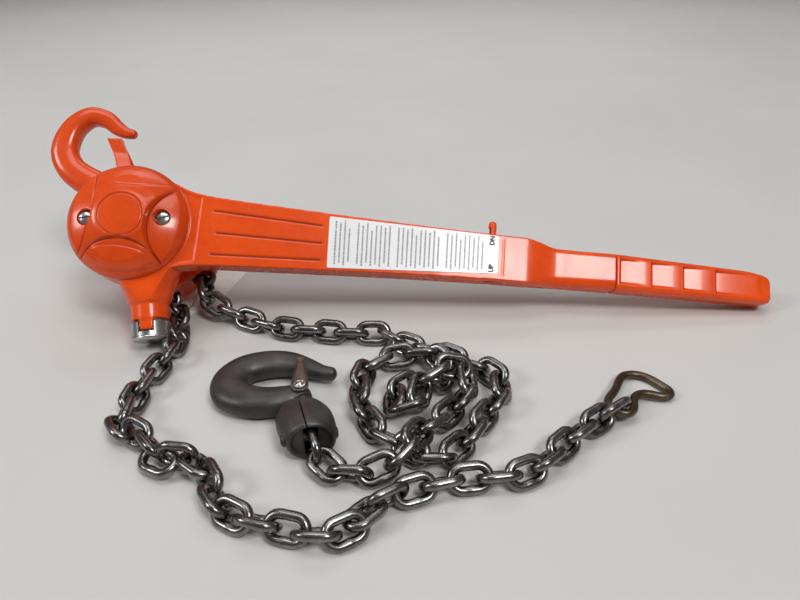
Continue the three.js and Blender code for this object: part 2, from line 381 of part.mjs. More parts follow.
add(bench, "tail_strand", bar(TAIL, R, 8, 46), "chain");
{
  const outline = [[-2.5, 455], [16, 446], [34, 434], [56, 418], [80, 404], [87.5, 385], [84, 360], [72, 340], [58, 318], [44, 298], [26, 287], [4, 281], [-16, 278], [-32, 277.5], [-47, 279], [-47.5, 298], [-38, 304], [-38, 330], [-43.5, 352], [-44, 380], [-38, 408], [-22, 421.5], [-3.5, 427]];
  let s = prism(outline, 0.2, 31);
  s = cut(s, bar(TAIL, R + 0.7, 8, 46), bar([...LOAD, [0, 442, 11.1]], R + 0.7, 8, 26));
  add(bench, "chain_pile", s.decompose().reduce((a, b) => (a.volume() > b.volume() ? a : b)), "chain");
}
{
  // end loop: a wide eye on the bench, drawn in at one side to a small lobe that lies up on the last link
  const P = [[166.8, 381.6], [173, 389.3], [184.1, 391.1], [192.4, 385.8], [198.2, 377.9], [202.3, 371.4], [200.7, 365.7], [193.3, 363.9], [183, 366.7], [174.7, 364.1], [169.7, 356.5], [167.4, 348], [161, 341.4], [154.3, 342.8], [149.1, 348.4], [151.8, 358.1], [156.6, 364.6], [161.8, 372.4]];
  const c = new THREE.CatmullRomCurve3(P.map(([x, y]) => new THREE.Vector3(x, y, 3.45 + 5.1 * Math.min(1, Math.max(0, 1 - ((x - 151) * 0.745 + (y - 345) * 0.667) / 55)))), true, "centripetal").getSpacedPoints(36).slice(0, 36);
  add(bench, "end_loop", loop(c.map((v) => [v.x, v.y, v.z]), 3.2, 8), "chain");
}
// ---- lower hook and its block -------------------------------------------------------------
{
  // the shank is round, with a button on its end, so that the hook swivels in its block
  const NECK = [-70.4, 349], NECK_DIR = [0.203, -0.979], SWIVEL_Z = 11.5;
  const bowl = [[-73, 360, 9.4], [-84, 357.5, 11.8], [-99, 354.5, 12.6], [-114, 357.5, 13.2], [-124.5, 368, 13.2], [-126.5, 382, 12.6], [-118, 395.5, 12], [-103, 403, 11.6], [-88, 402.5, 10.4], [-74, 397, 8.2], [-62.5, 391, 5.8], [-54, 388.4, 4.2]];
  const slim = bowl.map(([x, y, r]) => [x, y, r * 0.74]);
  let s = join(strip(bowl, 4.5, 15.5, 12), strip(slim, 0.2, 19.8, 12), placed(disc(5.4, -12, 21, 0, 0, 18), [...NECK, SWIVEL_Z], [...NECK_DIR, 0]), placed(disc(7.6, 15.5, 23, 0, 0, 20), [...NECK, SWIVEL_Z], [...NECK_DIR, 0]));
  s = cut(s, disc(2.4, -5, 40, -74.2, 363.8, 12));
  add(bench, "lower_hook", s, "forged");
  add(bench, "lower_latch_rivet", join(disc(2.1, 10, 23.6, -74.2, 363.8, 12), disc(4, 22.6, 24.4, -74.2, 363.8, 14)), "steel");
  let t = strip([[-74.2, 363.8, 6.4], [-77.2, 394, 3.3]], 20.2, 22.3, 14);
  t = cut(t, disc(2.5, -5, 40, -74.2, 363.8, 12));
  add(bench, "lower_latch", t, "steel");
  // block: two forged halves round the hook's button and the last link, a bell that stands on its rim
  const X = [0.979, 0.203], BELL_Z = 12, RISE = rad(7);
  const at = (s2, w) => [NECK[0] + NECK_DIR[0] * s2 + X[0] * w, NECK[1] + NECK_DIR[1] * s2 + X[1] * w];
  const bellZ = (s2) => BELL_Z + s2 * Math.tan(RISE);
  const onBell = (solid) => placed(solid, [...NECK, BELL_Z], [NECK_DIR[0] * Math.cos(RISE), NECK_DIR[1] * Math.cos(RISE), Math.sin(RISE)]);
  const cross = (r, a, b, s2, n = 16) => placed(disc(r, a, b, 0, 0, n), [...at(s2, 0), bellZ(s2)], [X[0], X[1], 0]);
  const bell = onBell(turned([[0, 2.6], [7.4, 2.6], [8.6, 4], [9.8, 9], [12.6, 15], [14.6, 21], [15.5, 28], [15.5, 35], [14.6, 38], [13, 39.4], [0, 39.4]], 32));
  const body = cut(join(bell, cross(9.6, -17.2, 17.2, 27, 20), cross(8, -19, 19, 27, 20)), box(-140, 0, 260, 400, -20, 0.2));
  const hollow = join(
    placed(disc(6, -2, 16, 0, 0, 18), [...NECK, SWIVEL_Z], [...NECK_DIR, 0]),
    placed(disc(8.1, 14.9, 24, 0, 0, 20), [...NECK, SWIVEL_Z], [...NECK_DIR, 0]),
    prism([at(25, -4.4), at(25, 4.4), at(50, 4.4), at(50, -4.4)], 4.2, 28.2),
  );
  for (const [name, k] of [["block_half_left", -1], ["block_half_right", 1]]) {
    const keep = prism(k < 0 ? [at(-5, -30), at(-5, -0.2), at(50, -0.2), at(50, -30)] : [at(-5, 0.2), at(-5, 30), at(50, 30), at(50, 0.2)], -5, 40);
    add(bench, name, cut(body.intersect(keep), hollow, cross(3.3, -30, 30, 32.5, 14)), "forged");
  }
  add(bench, "block_bolt", cross(3, -18.4, 18.4, 32.5, 14), "steel");
}
// ---- blank hang tag, lying on the bench under the strands, and its wire -----------------------
{
  const T = TAG_OUTLINE;
  add(bench, "hang_tag", cut(prism(T, 0, 0.3), disc(2.2, -1, 1, TAG_EYE[0], TAG_EYE[1], 10)), "paper");
  // the wire comes up through the eyelet and bends back over the tag
  const [x, y] = TAG_EYE;
  add(bench, "tag_wire", bar([[x, y, 0.9], [x + 3, y + 5, 2.2], [x + 3.5, y + 14, 2.6], [x + 2, y + 26, 2.2], [x + 6, y + 36, 1.4]], 0.6, 6, 16), "steel");
}
part.updateMatrixWorld(true);
export default part;
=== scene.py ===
# Looks of the ratchet lever chain puller, in metres, in the CAD frame. Points below are in millimetres.
import math
import bmesh
import bpy
import numpy as np
from mathutils import Matrix, Vector

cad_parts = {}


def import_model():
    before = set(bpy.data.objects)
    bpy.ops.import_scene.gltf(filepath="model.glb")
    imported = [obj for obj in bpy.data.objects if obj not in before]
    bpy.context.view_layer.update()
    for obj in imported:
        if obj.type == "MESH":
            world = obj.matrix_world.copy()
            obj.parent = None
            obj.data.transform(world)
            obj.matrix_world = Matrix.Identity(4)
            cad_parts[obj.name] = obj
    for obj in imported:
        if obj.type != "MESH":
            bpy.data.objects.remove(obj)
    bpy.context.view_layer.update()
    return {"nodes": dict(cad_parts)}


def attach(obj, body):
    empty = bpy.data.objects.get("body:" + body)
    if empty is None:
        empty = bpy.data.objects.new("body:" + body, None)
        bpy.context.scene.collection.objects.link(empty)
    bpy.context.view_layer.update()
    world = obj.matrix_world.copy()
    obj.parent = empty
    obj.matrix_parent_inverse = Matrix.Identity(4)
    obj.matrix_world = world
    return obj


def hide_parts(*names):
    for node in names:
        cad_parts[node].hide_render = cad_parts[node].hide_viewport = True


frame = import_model()
NODES = frame["nodes"]
MM = 0.001

# ---- frames ---------------------------------------------------------------------------------
rad = math.radians


def rot(deg, axis):
    return Matrix.Rotation(rad(deg), 4, axis)


TOOL = Matrix.Translation((-230.8, -31.25, 94.5)) @ rot(5.765, "Z") @ rot(90 - 43.294, "X") @ rot(-9.427, "Z")
FRAME = TOOL @ rot(-45, "Z")
BENCH = Matrix.Translation((-5.03, -522.38, 0))
BOSS_ANGLE = rad(11.6)
BOSS_DIR = Vector((math.sin(BOSS_ANGLE), -math.cos(BOSS_ANGLE), 0))
# local x of the boss points out of the lever's front, z along the boss
BOSS_T = Matrix(((0, BOSS_DIR.y, BOSS_DIR.x, 9.2), (0, -BOSS_DIR.x, BOSS_DIR.y, 0), (1, 0, 0, -17), (0, 0, 0, 1)))
BOSS = TOOL @ BOSS_T
MID_Z = -52.1
STRAND_W = 18.5

# ---- camera ---------------------------------------------------------------------------------
theta, roll = rad(32.527), rad(0.940)
cX, cU, cF = Vector((1, 0, 0)), Vector((0, math.sin(theta), math.cos(theta))), Vector((0, math.cos(theta), -math.sin(theta)))
right = math.cos(roll) * cX - math.sin(roll) * cU
up = math.sin(roll) * cX + math.cos(roll) * cU
cam_data = bpy.data.cameras.new("camera")
cam_data.lens, cam_data.sensor_width = 28.99, 36.0
cam_data.clip_start, cam_data.clip_end = 0.01, 50
cam = bpy.data.objects.new("camera", cam_data)
bpy.context.scene.collection.objects.link(cam)
m = Matrix.Identity(4)
for i in range(3):
    m[i][0], m[i][1], m[i][2] = right[i], up[i], -cF[i]
m[0][3], m[1][3], m[2][3] = -5.03 * MM, -522.38 * MM, 325.8 * MM
cam.matrix_world = m
bpy.context.scene.camera = cam
bpy.context.scene.view_settings.view_transform = "Standard"
bpy.context.scene.view_settings.look = "None"


# ---- materials --------------------------------------------------------------------------------
def new_material(name):
    mt = bpy.data.materials.new(name)
    mt.use_nodes = True
    nt = mt.node_tree
    bs = nt.nodes["Principled BSDF"]
    co = nt.nodes.new("ShaderNodeTexCoord")
    return mt, nt, bs, co


def noise(nt, co, scale, detail=4.0, rough=0.55, source="Object", stretch=None):
    out = co.outputs[source]
    if stretch:
        mp = nt.nodes.new("ShaderNodeMapping")
        mp.inputs["Scale"].default_value = stretch
        nt.links.new(out, mp.inputs["Vector"])
        out = mp.outputs["Vector"]
    n = nt.nodes.new("ShaderNodeTexNoise")
    n.inputs["Scale"].default_value = scale
    n.inputs["Detail"].default_value = detail
    n.inputs["Roughness"].default_value = rough
    nt.links.new(out, n.inputs["Vector"])
    return n.outputs["Fac"]


def ramp(nt, fac, stops):
    r = nt.nodes.new("ShaderNodeValToRGB")
    e = r.color_ramp.elements
    while len(e) < len(stops):
        e.new(0.5)
    for i, (p, c) in enumerate(stops):
        e[i].position = p
        e[i].color = c if len(c) == 4 else (*c, 1)
    nt.links.new(fac, r.inputs["Fac"])
    return r.outputs["Color"]


def spread(nt, fac, lo, hi, a=0.3, b=0.7):
    r = nt.nodes.new("ShaderNodeMapRange")
    r.inputs["From Min"].default_value, r.inputs["From Max"].default_value = a, b
    r.inputs["To Min"].default_value, r.inputs["To Max"].default_value = lo, hi
    nt.links.new(fac, r.inputs["Value"])
    return r.outputs["Result"]


def bump(nt, bs, parts):
    last = None
    for fac, strength, distance in parts:
        b = nt.nodes.new("ShaderNodeBump")
        b.inputs["Strength"].default_value = strength
        b.inputs["Distance"].default_value = distance
        nt.links.new(fac, b.inputs["Height"])
        if last:
            nt.links.new(last, b.inputs["Normal"])
        last = b.outputs["Normal"]
    nt.links.new(last, bs.inputs["Normal"])


def surface(name, tones, rough, metal=0.0, scale=40.0, bumps=((900, 0.1, 0.0001),), coat=0.0, coat_rough=0.05, specular=None, stretch=None):
    """A material whose colour runs through tones, whose roughness varies, and whose skin is uneven at the given scales."""
    mt, nt, bs, co = new_material(name)
    n = noise(nt, co, scale, 6, 0.6, stretch=stretch)
    k = len(tones)
    nt.links.new(ramp(nt, n, [(0.3 + 0.4 * i / max(1, k - 1), t) for i, t in enumerate(tones)]), bs.inputs["Base Color"])
    nt.links.new(spread(nt, noise(nt, co, scale * 1.7, 5, 0.6, stretch=stretch), *rough), bs.inputs["Roughness"])
    bs.inputs["Metallic"].default_value = metal
    if specular is not None:
        bs.inputs["Specular IOR Level"].default_value = specular
    if coat:
        bs.inputs["Coat Weight"].default_value = coat
        bs.inputs["Coat Roughness"].default_value = coat_rough
    bump(nt, bs, [(noise(nt, co, s, 3, 0.5, stretch=stretch), st, d) for s, st, d in bumps])
    return mt


ORANGE = surface("orange_paint", [(0.70, 0.060, 0.0025), (0.77, 0.072, 0.003), (0.83, 0.083, 0.004)], (0.23, 0.30), scale=30,
                 bumps=((90, 0.03, 0.0005), (600, 0.03, 0.0001)), coat=0.26, coat_rough=0.08, specular=0.30)


def paint_shade_in_hollows(mt, dark, lo, hi, coat):
    """Painted shade: grooves and inner corners, found by low pointiness and by the groove attribute, get a darker
    colour, less coat and more roughness.
    """
    nt = mt.node_tree
    bs = nt.nodes["Principled BSDF"]
    geo = nt.nodes.new("ShaderNodeNewGeometry")
    f = spread(nt, geo.outputs["Pointiness"], 0.0, 1.0, lo, hi)
    cut = nt.nodes.new("ShaderNodeAttribute")
    cut.attribute_name = "groove"
    both = nt.nodes.new("ShaderNodeMath")
    both.operation = "SUBTRACT"
    both.use_clamp = True
    nt.links.new(f, both.inputs[0])
    nt.links.new(cut.outputs["Fac"], both.inputs[1])
    f = both.outputs["Value"]
    mix = nt.nodes.new("ShaderNodeMixRGB")
    mix.inputs["Color1"].default_value = (*dark, 1)
    nt.links.new(f, mix.inputs["Fac"])
    nt.links.new(bs.inputs["Base Color"].links[0].from_socket, mix.inputs["Color2"])
    nt.links.new(mix.outputs["Color"], bs.inputs["Base Color"])
    nt.links.new(spread(nt, f, 0.0, coat, 0, 1), bs.inputs["Coat Weight"])
    duller = nt.nodes.new("ShaderNodeMixRGB")
    duller.inputs["Color1"].default_value = (0.8, 0.8, 0.8, 1)
    nt.links.new(f, duller.inputs["Fac"])
    nt.links.new(bs.inputs["Roughness"].links[0].from_socket, duller.inputs["Color2"])
    nt.links.new(duller.outputs["Color"], bs.inputs["Roughness"])
    return mt


# painted shade in the grooves and hollows of the lever paint
paint_shade_in_hollows(ORANGE, (0.20, 0.014, 0.001), 0.435, 0.482, 0.26)
# a darker copy of the orange paint: painted shade for the cover, the upper hook and its latch
SHADED_ORANGE = surface("orange_paint_shaded", [(0.61, 0.051, 0.0022), (0.67, 0.061, 0.0027), (0.73, 0.071, 0.0035)], (0.22, 0.29), scale=30,
                      bumps=((90, 0.03, 0.0005), (600, 0.03, 0.0001)), coat=0.32, coat_rough=0.08, specular=0.34)
# painted shade in the grooves and hollows of the darker copy of the orange paint
paint_shade_in_hollows(SHADED_ORANGE, (0.16, 0.011, 0.001), 0.44, 0.487, 0.32)
ZINC = surface("zinc_plate", [(0.44, 0.44, 0.44), (0.49, 0.49, 0.485), (0.54, 0.54, 0.53)], (0.24, 0.32), 1.0, 60, ((500, 0.04, 0.0002), (1600, 0.05, 0.0001)))
CHAIN = surface("chain_steel", [(0.10, 0.096, 0.094), (0.19, 0.184, 0.18), (0.29, 0.282, 0.278)], (0.19, 0.33), 1.0, 70, ((260, 0.12, 0.0004), (1200, 0.12, 0.00012)), coat=0.3, coat_rough=0.08)
FORGED = surface("forged_black", [(0.042, 0.040, 0.039), (0.062, 0.059, 0.057), (0.092, 0.087, 0.083)], (0.36, 0.52), 0.5, 55, ((130, 0.18, 0.0006), (900, 0.2, 0.0002)))
RING = surface("end_ring_steel", [(0.066, 0.049, 0.031), (0.11, 0.083, 0.055), (0.165, 0.13, 0.09)], (0.32, 0.48), 0.9, 80, ((260, 0.15, 0.0004), (1100, 0.15, 0.00015)))
STEEL = surface("bare_steel", [(0.30, 0.30, 0.31), (0.42, 0.42, 0.43), (0.52, 0.52, 0.52)], (0.26, 0.42), 1.0, 80, ((400, 0.08, 0.0003),), stretch=(1, 1, 6))
LATCH = surface("latch_steel", [(0.085, 0.062, 0.053), (0.14, 0.108, 0.096), (0.215, 0.175, 0.16)], (0.34, 0.5), 0.8, 90, ((500, 0.15, 0.0002),))
BRONZE = surface("bronze_bush", [(0.34, 0.18, 0.06), (0.46, 0.26, 0.09), (0.53, 0.33, 0.14)], (0.3, 0.45), 1.0, 90, ((600, 0.1, 0.0002),))
LINING = surface("brake_lining", [(0.05, 0.038, 0.028), (0.085, 0.062, 0.046), (0.13, 0.10, 0.075)], (0.8, 0.95), 0.0, 400, ((900, 0.5, 0.0003),))
SPRING = surface("spring_wire", [(0.16, 0.16, 0.17), (0.24, 0.24, 0.25)], (0.25, 0.4), 1.0, 200, ((900, 0.1, 0.0001),))
PAPER = surface("tag_paper", [(0.70, 0.68, 0.64), (0.80, 0.785, 0.755), (0.86, 0.85, 0.83)], (0.75, 0.9), 0.0, 45, ((420, 0.25, 0.0003), (2200, 0.3, 0.0001)))
LABEL = surface("label_film", [(0.78, 0.78, 0.79), (0.82, 0.82, 0.83), (0.85, 0.85, 0.855)], (0.30, 0.42), 0.0, 25, ((160, 0.05, 0.0003),), coat=0.3, coat_rough=0.12)
INK = surface("label_ink", [(0.19, 0.19, 0.20), (0.31, 0.31, 0.32)], (0.4, 0.55), 0.0, 300, ((900, 0.05, 0.0001),))
BLACK_INK = surface("print_black", [(0.012, 0.012, 0.013), (0.025, 0.025, 0.027)], (0.4, 0.55), 0.0, 300, ((900, 0.05, 0.0001),))
MATERIAL_OF_SLOT = {"orange_paint": ORANGE, "zinc_plate": ZINC, "chain_steel": CHAIN, "forged_black": FORGED, "bare_steel": STEEL,
                    "latch_steel": LATCH, "bronze_bush": BRONZE, "brake_lining": LINING, "spring_wire": SPRING, "tag_paper": PAPER, "label_film": LABEL}


# ---- mesh helpers -----------------------------------------------------------------------------
def obj_from(name, verts, faces, matrix=None, smooth=True):
    """An object in metres, from points in millimetres in the frame that matrix stands for."""
    v = np.asarray(verts, float)
    if matrix is not None:
        a = np.array(matrix)
        v = v @ a[:3, :3].T + a[:3, 3]
    me = bpy.data.meshes.new(name)
    me.from_pydata((v * MM).tolist(), [], [list(f) for f in faces])
    me.validate()
    me.update()
    o = bpy.data.objects.new(name, me)
    bpy.context.scene.collection.objects.link(o)
    if smooth:
        me.shade_smooth()
    return o


def outward(o):
    bm = bmesh.new()
    bm.from_mesh(o.data)
    bmesh.ops.recalc_face_normals(bm, faces=bm.faces)
    bm.to_mesh(o.data)
    bm.free()
    return o


def apply_modifiers(o):
    dg = bpy.context.evaluated_depsgraph_get()
    me = bpy.data.meshes.new_from_object(o.evaluated_get(dg))
    old = o.data
    o.modifiers.clear()
    o.data = me
    bpy.data.meshes.remove(old)
    return o


def remove(o):
    bpy.data.objects.remove(o)


def boolean(a, b, op):
    md = a.modifiers.new("b", "BOOLEAN")
    md.operation, md.object = op, b
    md.solver = "MANIFOLD"
    apply_modifiers(a)
    remove(b)
    return a


def join_all(first, *rest):
    for r in rest:
        boolean(first, r, "UNION")
    return first


def cut_all(first, *rest):
    for r in rest:
        boolean(first, r, "DIFFERENCE")
    return first


def prism(pts, z0, z1, name="tmp"):
    n = len(pts)
    v = [(x, y, z0) for x, y in pts] + [(x, y, z1) for x, y in pts]
    f = [tuple(range(n - 1, -1, -1)), tuple(range(n, 2 * n))] + [(i, (i + 1) % n, n + (i + 1) % n, n + i) for i in range(n)]
    return outward(obj_from(name, v, f, None, False))


def circle(r, n=72, x=0.0, y=0.0):
    return [(x + r * math.cos(2 * math.pi * i / n), y + r * math.sin(2 * math.pi * i / n)) for i in range(n)]


def disc(r, z0, z1, x=0.0, y=0.0, n=72):
    return prism(circle(r, n, x, y), z0, z1)


def block(x0, x1, y0, y1, z0, z1):
    return prism([(x0, y0), (x1, y0), (x1, y1), (x0, y1)], z0, z1)


def lathe(profile, n=96, name="tmp", matrix=None, smooth=False):
    """A closed body of revolution about z on [radius, z] from the axis to the axis."""
    v, rings = [], []
    for r, z in profile:
        if r < 1e-6:
            rings.append([len(v)])
            v.append((0, 0, z))
        else:
            rings.append(list(range(len(v), len(v) + n)))
            v += [(r * math.cos(2 * math.pi * i / n), r * math.sin(2 * math.pi * i / n), z) for i in range(n)]
    f = []
    pairs = list(zip(rings, rings[1:]))
    if len(rings[0]) > 1 and len(rings[-1]) > 1:
        pairs.append((rings[-1], rings[0]))
    for a, b in pairs:
        for i in range(n):
            j = (i + 1) % n
            q = [a[i % len(a)], a[j % len(a)], b[j % len(b)], b[i % len(b)]]
            q = [x for k, x in enumerate(q) if x != q[k - 1]]
            if len(q) > 2:
                f.append(tuple(q))
    return outward(obj_from(name, v, f, matrix, smooth))


def move(o, matrix):
    o.data.transform(Matrix.Scale(1 / MM, 4))
    o.data.transform(matrix)
    o.data.transform(Matrix.Scale(MM, 4))
    o.data.update()
    return o


def coords(o):
    a = np.zeros(len(o.data.vertices) * 3)
    o.data.vertices.foreach_get("co", a)
    return a.reshape(-1, 3) / MM


def set_coords(o, a):
    o.data.vertices.foreach_set("co", (np.asarray(a) * MM).ravel())
    o.data.update()


def normals(o):
    a = np.zeros(len(o.data.vertices) * 3, np.float32)
    o.data.vertex_normals.foreach_get("vector", a)
    return a.reshape(-1, 3).astype(float)


def relax(o, times, keep=None, factor=0.5):
    """Laplacian smoothing of a mesh; keep is a weight per vertex, 0 where it may move."""
    me = o.data
    e = np.zeros(len(me.edges) * 2, np.int64)
    me.edges.foreach_get("vertices", e)
    e = e.reshape(-1, 2)
    p = coords(o)
    n = np.bincount(e.ravel(), minlength=len(p)).astype(float)[:, None]
    w = factor if keep is None else factor * (1 - keep[:, None])
    for _ in range(times):
        s = np.zeros_like(p)
        for k in range(3):
            s[:, k] = np.bincount(e[:, 0], p[e[:, 1], k], len(p)) + np.bincount(e[:, 1], p[e[:, 0], k], len(p))
        p = p + w * (s / np.maximum(n, 1) - p)
    set_coords(o, p)
    return o


def remesh(o, voxel, times):
    md = o.modifiers.new("r", "REMESH")
    md.mode, md.voxel_size, md.adaptivity = "VOXEL", voxel * MM, 0
    apply_modifiers(o)
    relax(o, times)
    o.data.shade_smooth()
    return o


def cad_copy(node, matrix=None):
    """A copy of a CAD node's mesh, in the given frame, welded."""
    me = NODES[node].data.copy()
    me.materials.clear()
    o = bpy.data.objects.new("tmp", me)
    bpy.context.scene.collection.objects.link(o)
    bm = bmesh.new()
    bm.from_mesh(me)
    bmesh.ops.remove_doubles(bm, verts=bm.verts, dist=1e-6)
    bmesh.ops.recalc_face_normals(bm, faces=bm.faces)
    bm.to_mesh(me)
    bm.free()
    if matrix is not None:
        move(o, matrix.inverted())
    return o


def place(o, name, body, material, replaces=(), matrix=None, parent=None):
    if matrix is not None:
        move(o, matrix)
    o.name = o.data.name = name
    o.data.materials.clear()
    o.data.materials.append(material)
    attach(o, body)
    if replaces:
        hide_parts(*([replaces] if isinstance(replaces, str) else replaces))
    return o


def step(x, a, b):
    t = np.clip((np.asarray(x, float) - a) / (b - a), 0, 1)
    return t * t * (3 - 2 * t)


def spline(pts, n):
    """n points evenly along a centripetal Catmull-Rom curve through pts."""
    P = np.asarray(pts, float)
    P = np.vstack([2 * P[0] - P[1], P, 2 * P[-1] - P[-2]])
    out = []
    for i in range(1, len(P) - 2):
        a, b, c, d = P[i - 1], P[i], P[i + 1], P[i + 2]
        t0 = 0.0
        t1 = t0 + max(1e-6, np.linalg.norm(b - a) ** 0.5)
        t2 = t1 + max(1e-6, np.linalg.norm(c - b) ** 0.5)
        t3 = t2 + max(1e-6, np.linalg.norm(d - c) ** 0.5)
        for t in np.linspace(t1, t2, 24, endpoint=False):
            A1 = (t1 - t) / (t1 - t0) * a + (t - t0) / (t1 - t0) * b
            A2 = (t2 - t) / (t2 - t1) * b + (t - t1) / (t2 - t1) * c
            A3 = (t3 - t) / (t3 - t2) * c + (t - t2) / (t3 - t2) * d
            B1 = (t2 - t) / (t2 - t0) * A1 + (t - t0) / (t2 - t0) * A2
            B2 = (t3 - t) / (t3 - t1) * A2 + (t - t1) / (t3 - t1) * A3
            out.append((t2 - t) / (t2 - t1) * B1 + (t - t1) / (t2 - t1) * B2)
    out.append(P[-2])
    out = np.array(out)
    s = np.concatenate([[0], np.cumsum(np.linalg.norm(np.diff(out[:, :3], axis=0), axis=1))])
    if n is None:
        return out, s
    q = np.linspace(0, s[-1], n)
    return np.stack([np.interp(q, s, out[:, k]) for k in range(out.shape[1])], 1)


# ---- chain ------------------------------------------------------------------------------------
WIRE, LINK_L, LINK_W, PITCH = 6.35, 31.4, 21.5, 18.7


def link_mesh(wire=WIRE, length=LINK_L, width=LINK_W, around=36, sides=14):
    """Points and faces of one welded link, long way along x, flat in the x y plane."""
    h, r = (length - width) / 2, (width - wire) / 2
    arc = math.pi * r
    total = 2 * arc + 4 * h
    line = []
    for i in range(around):
        s = i * total / around
        if s < arc:
            a = -math.pi / 2 + s / r
            line.append((h + r * math.cos(a), r * math.sin(a), math.cos(a), math.sin(a)))
        elif s < arc + 2 * h:
            line.append((h - (s - arc), r, 0.0, 1.0))
        elif s < 2 * arc + 2 * h:
            a = math.pi / 2 + (s - arc - 2 * h) / r
            line.append((-h + r * math.cos(a), r * math.sin(a), math.cos(a), math.sin(a)))
        else:
            line.append((-h + (s - 2 * arc - 2 * h), -r, 0.0, -1.0))
    v, f = [], []
    for i, (x, y, nx, ny) in enumerate(line):
        # the weld is a slight collar in the middle of one long side
        s = i * total / around - (2 * arc + 3 * h)
        w = wire / 2 * (1 + 0.10 * math.exp(-((s / 1.6) ** 2)))
        for k in range(sides):
            a = 2 * math.pi * k / sides
            v.append((x + nx * w * math.cos(a), y + ny * w * math.cos(a), w * math.sin(a)))
    for i in range(around):
        for k in range(sides):
            j, l = (i + 1) % around, (k + 1) % sides
            f.append((i * sides + k, j * sides + k, j * sides + l, i * sides + l))
    return np.array(v), f


LINK_V, LINK_F = link_mesh()


def links_at(name, places, matrix=None):
    """One mesh of links; places is a list of (centre, tangent, normal)."""
    V, F = [], []
    for k, (c, t, n) in enumerate(places):
        t = t / np.linalg.norm(t)
        n = n - t * np.dot(n, t)
        n = n / np.linalg.norm(n)
        b = np.cross(n, t)
        V.append(LINK_V[:, :1] * t + LINK_V[:, 1:2] * b + LINK_V[:, 2:] * n + c)
        F += [tuple(i + k * len(LINK_V) for i in q) for q in LINK_F]
    return outward(obj_from(name, np.vstack(V), F, matrix))


def along(line, s_all, s):
    return np.stack([np.interp(s, s_all, line[:, k]) for k in range(3)], -1)


def strand_places(route, rolls, first, pitch, count, wobble=0.0):
    """Link centres along a route; rolls is a list of (arc length, degrees)."""
    line, S = spline(route, None)
    out = []
    for k in range(count):
        s = first + k * pitch
        a, b = along(line, S, s - 9), along(line, S, s + 9)
        c, t = (a + b) / 2, b - a
        c = 0.5 * c + 0.5 * along(line, S, s)
        t = t / np.linalg.norm(t)
        z = np.array([0, 0, 1.0]) - t * t[2]
        z /= np.linalg.norm(z)
        rr = rad(np.interp(s, [r[0] for r in rolls], [r[1] for r in rolls]) + wobble * math.sin(1.7 * k) * math.sin(0.61 * k + 1))
        n = math.cos(rr) * z + math.sin(rr) * np.cross(t, z)
        if k % 2:
            n = np.cross(t, n)
        out.append((c, t, n))
    return out, S[-1], line


def world(p):
    v = (BENCH.inverted() @ FRAME) @ Vector(p)
    return [v.x, v.y, v.z]


LOW = 8.8
LOAD_ROUTE = [world((10, STRAND_W, MID_Z)), world((25.4, STRAND_W, MID_Z)), world((42, STRAND_W, MID_Z)), world((60, STRAND_W, MID_Z)),
              [-172, 488.5, 21.5], [-155.5, 480, 12], [-127.5, 466.5, LOW], [-108.5, 457.8, LOW], [-84, 451.5, LOW], [-66, 450, LOW],
              [-47, 446.1, LOW], [-29, 445, LOW], [-10, 443.5, LOW]]
PILE_ROUTE = [(4.8, 426.7), (21.3, 421.0), (37.3, 412.8), (52.6, 402.5), (66.8, 394.8), (75.7, 380.6), (72.1, 361.6), (62.7, 346.6),
              (52.9, 332.5), (42.6, 316.6), (31.4, 305.1), (19.3, 300.9), (8.7, 308.0), (-0.6, 316.4), (-11.8, 321.5), (-20.9, 334.2),
              (-28.8, 352.9), (-31.7, 375.8), (-26.6, 397.3), (-12.8, 408.3), (4.5, 409.5), (20.7, 409.1), (34.2, 397.3), (32.0, 378.7),
              (17.6, 380.6), (2.9, 376.4), (-6.7, 359.3), (0.7, 346.8), (10.9, 352.0), (15.2, 370.2), (27.1, 377.3), (41.1, 384.5),
              (51.1, 376.7), (44.6, 358.1), (30.2, 338.2), (18.0, 327.0), (8.8, 311.5), (-1.6, 298.0), (-14.0, 291.6), (-26.2, 288.7),
              (-38.4, 287.9), (-46.9, 292.4)]
# the tail strand: its way out of the head, and then link by link [x, y, z, turn about its own run]
TAIL_ROUTE = [world((10, -STRAND_W, MID_Z)), world((25.4, -STRAND_W, MID_Z)), world((42, -STRAND_W, MID_Z)), world((60, -STRAND_W, MID_Z)),
              [-193, 470, 14], [-188.3, 450.3, 10.5]]
TAIL_LINKS = [(-187.8, 437, 9, 135), (-189.5, 421, 9, 50), (-193.2, 401.7, 9, 135), (-198.3, 384, 9, 45), (-198.6, 367, 9, 135), (-200.3, 350.5, 9, 55),
              (-197.0, 334, 9.5, 140), (-185.1, 329.4, 10.5, 45), (-171.0, 317.5, 9, 120), (-161.2, 303.5, 9, 15), (-149.2, 306.2, 10, 80), (-134.9, 299.3, 9, 155),
              (-123.6, 287.0, 9, 55), (-116.1, 269.9, 9, 135), (-103.5, 258.8, 9, 45), (-87.0, 253.3, 9, 135), (-69.0, 248.3, 9, 45), (-51.0, 243.8, 9, 135),
              (-34.2, 246.0, 9, 45), (-23.3, 258.4, 9, 165), (-9.9, 268.8, 9, 105), (7.1, 275.6, 9, 45), (24.5, 280.9, 9, 135), (43.2, 284.5, 9, 45),
              (61.5, 285.4, 9, 135), (79.3, 288.5, 9, 45), (94.3, 299.2, 9, 135), (108.4, 311.8, 9, 45), (122.0, 324.8, 9, 135), (137.4, 335.0, 9, 50),
              (150.8, 343.2, 10.4, 110)]


def settle(points, most, rounds=300):
    """Draws link centres together until no neighbours are further apart than links can be; both ends stay."""
    P = np.array(points, float)
    for _ in range(rounds):
        for k in range(len(P) - 1):
            d = P[k + 1] - P[k]
            L = np.linalg.norm(d)
            if L > most:
                w0, w1 = (0.0 if k == 0 else 1.0), (0.0 if k == len(P) - 2 else 1.0)
                d *= (L - most) / L / (w0 + w1)
                P[k] += w0 * d
                P[k + 1] -= w1 * d
    return P


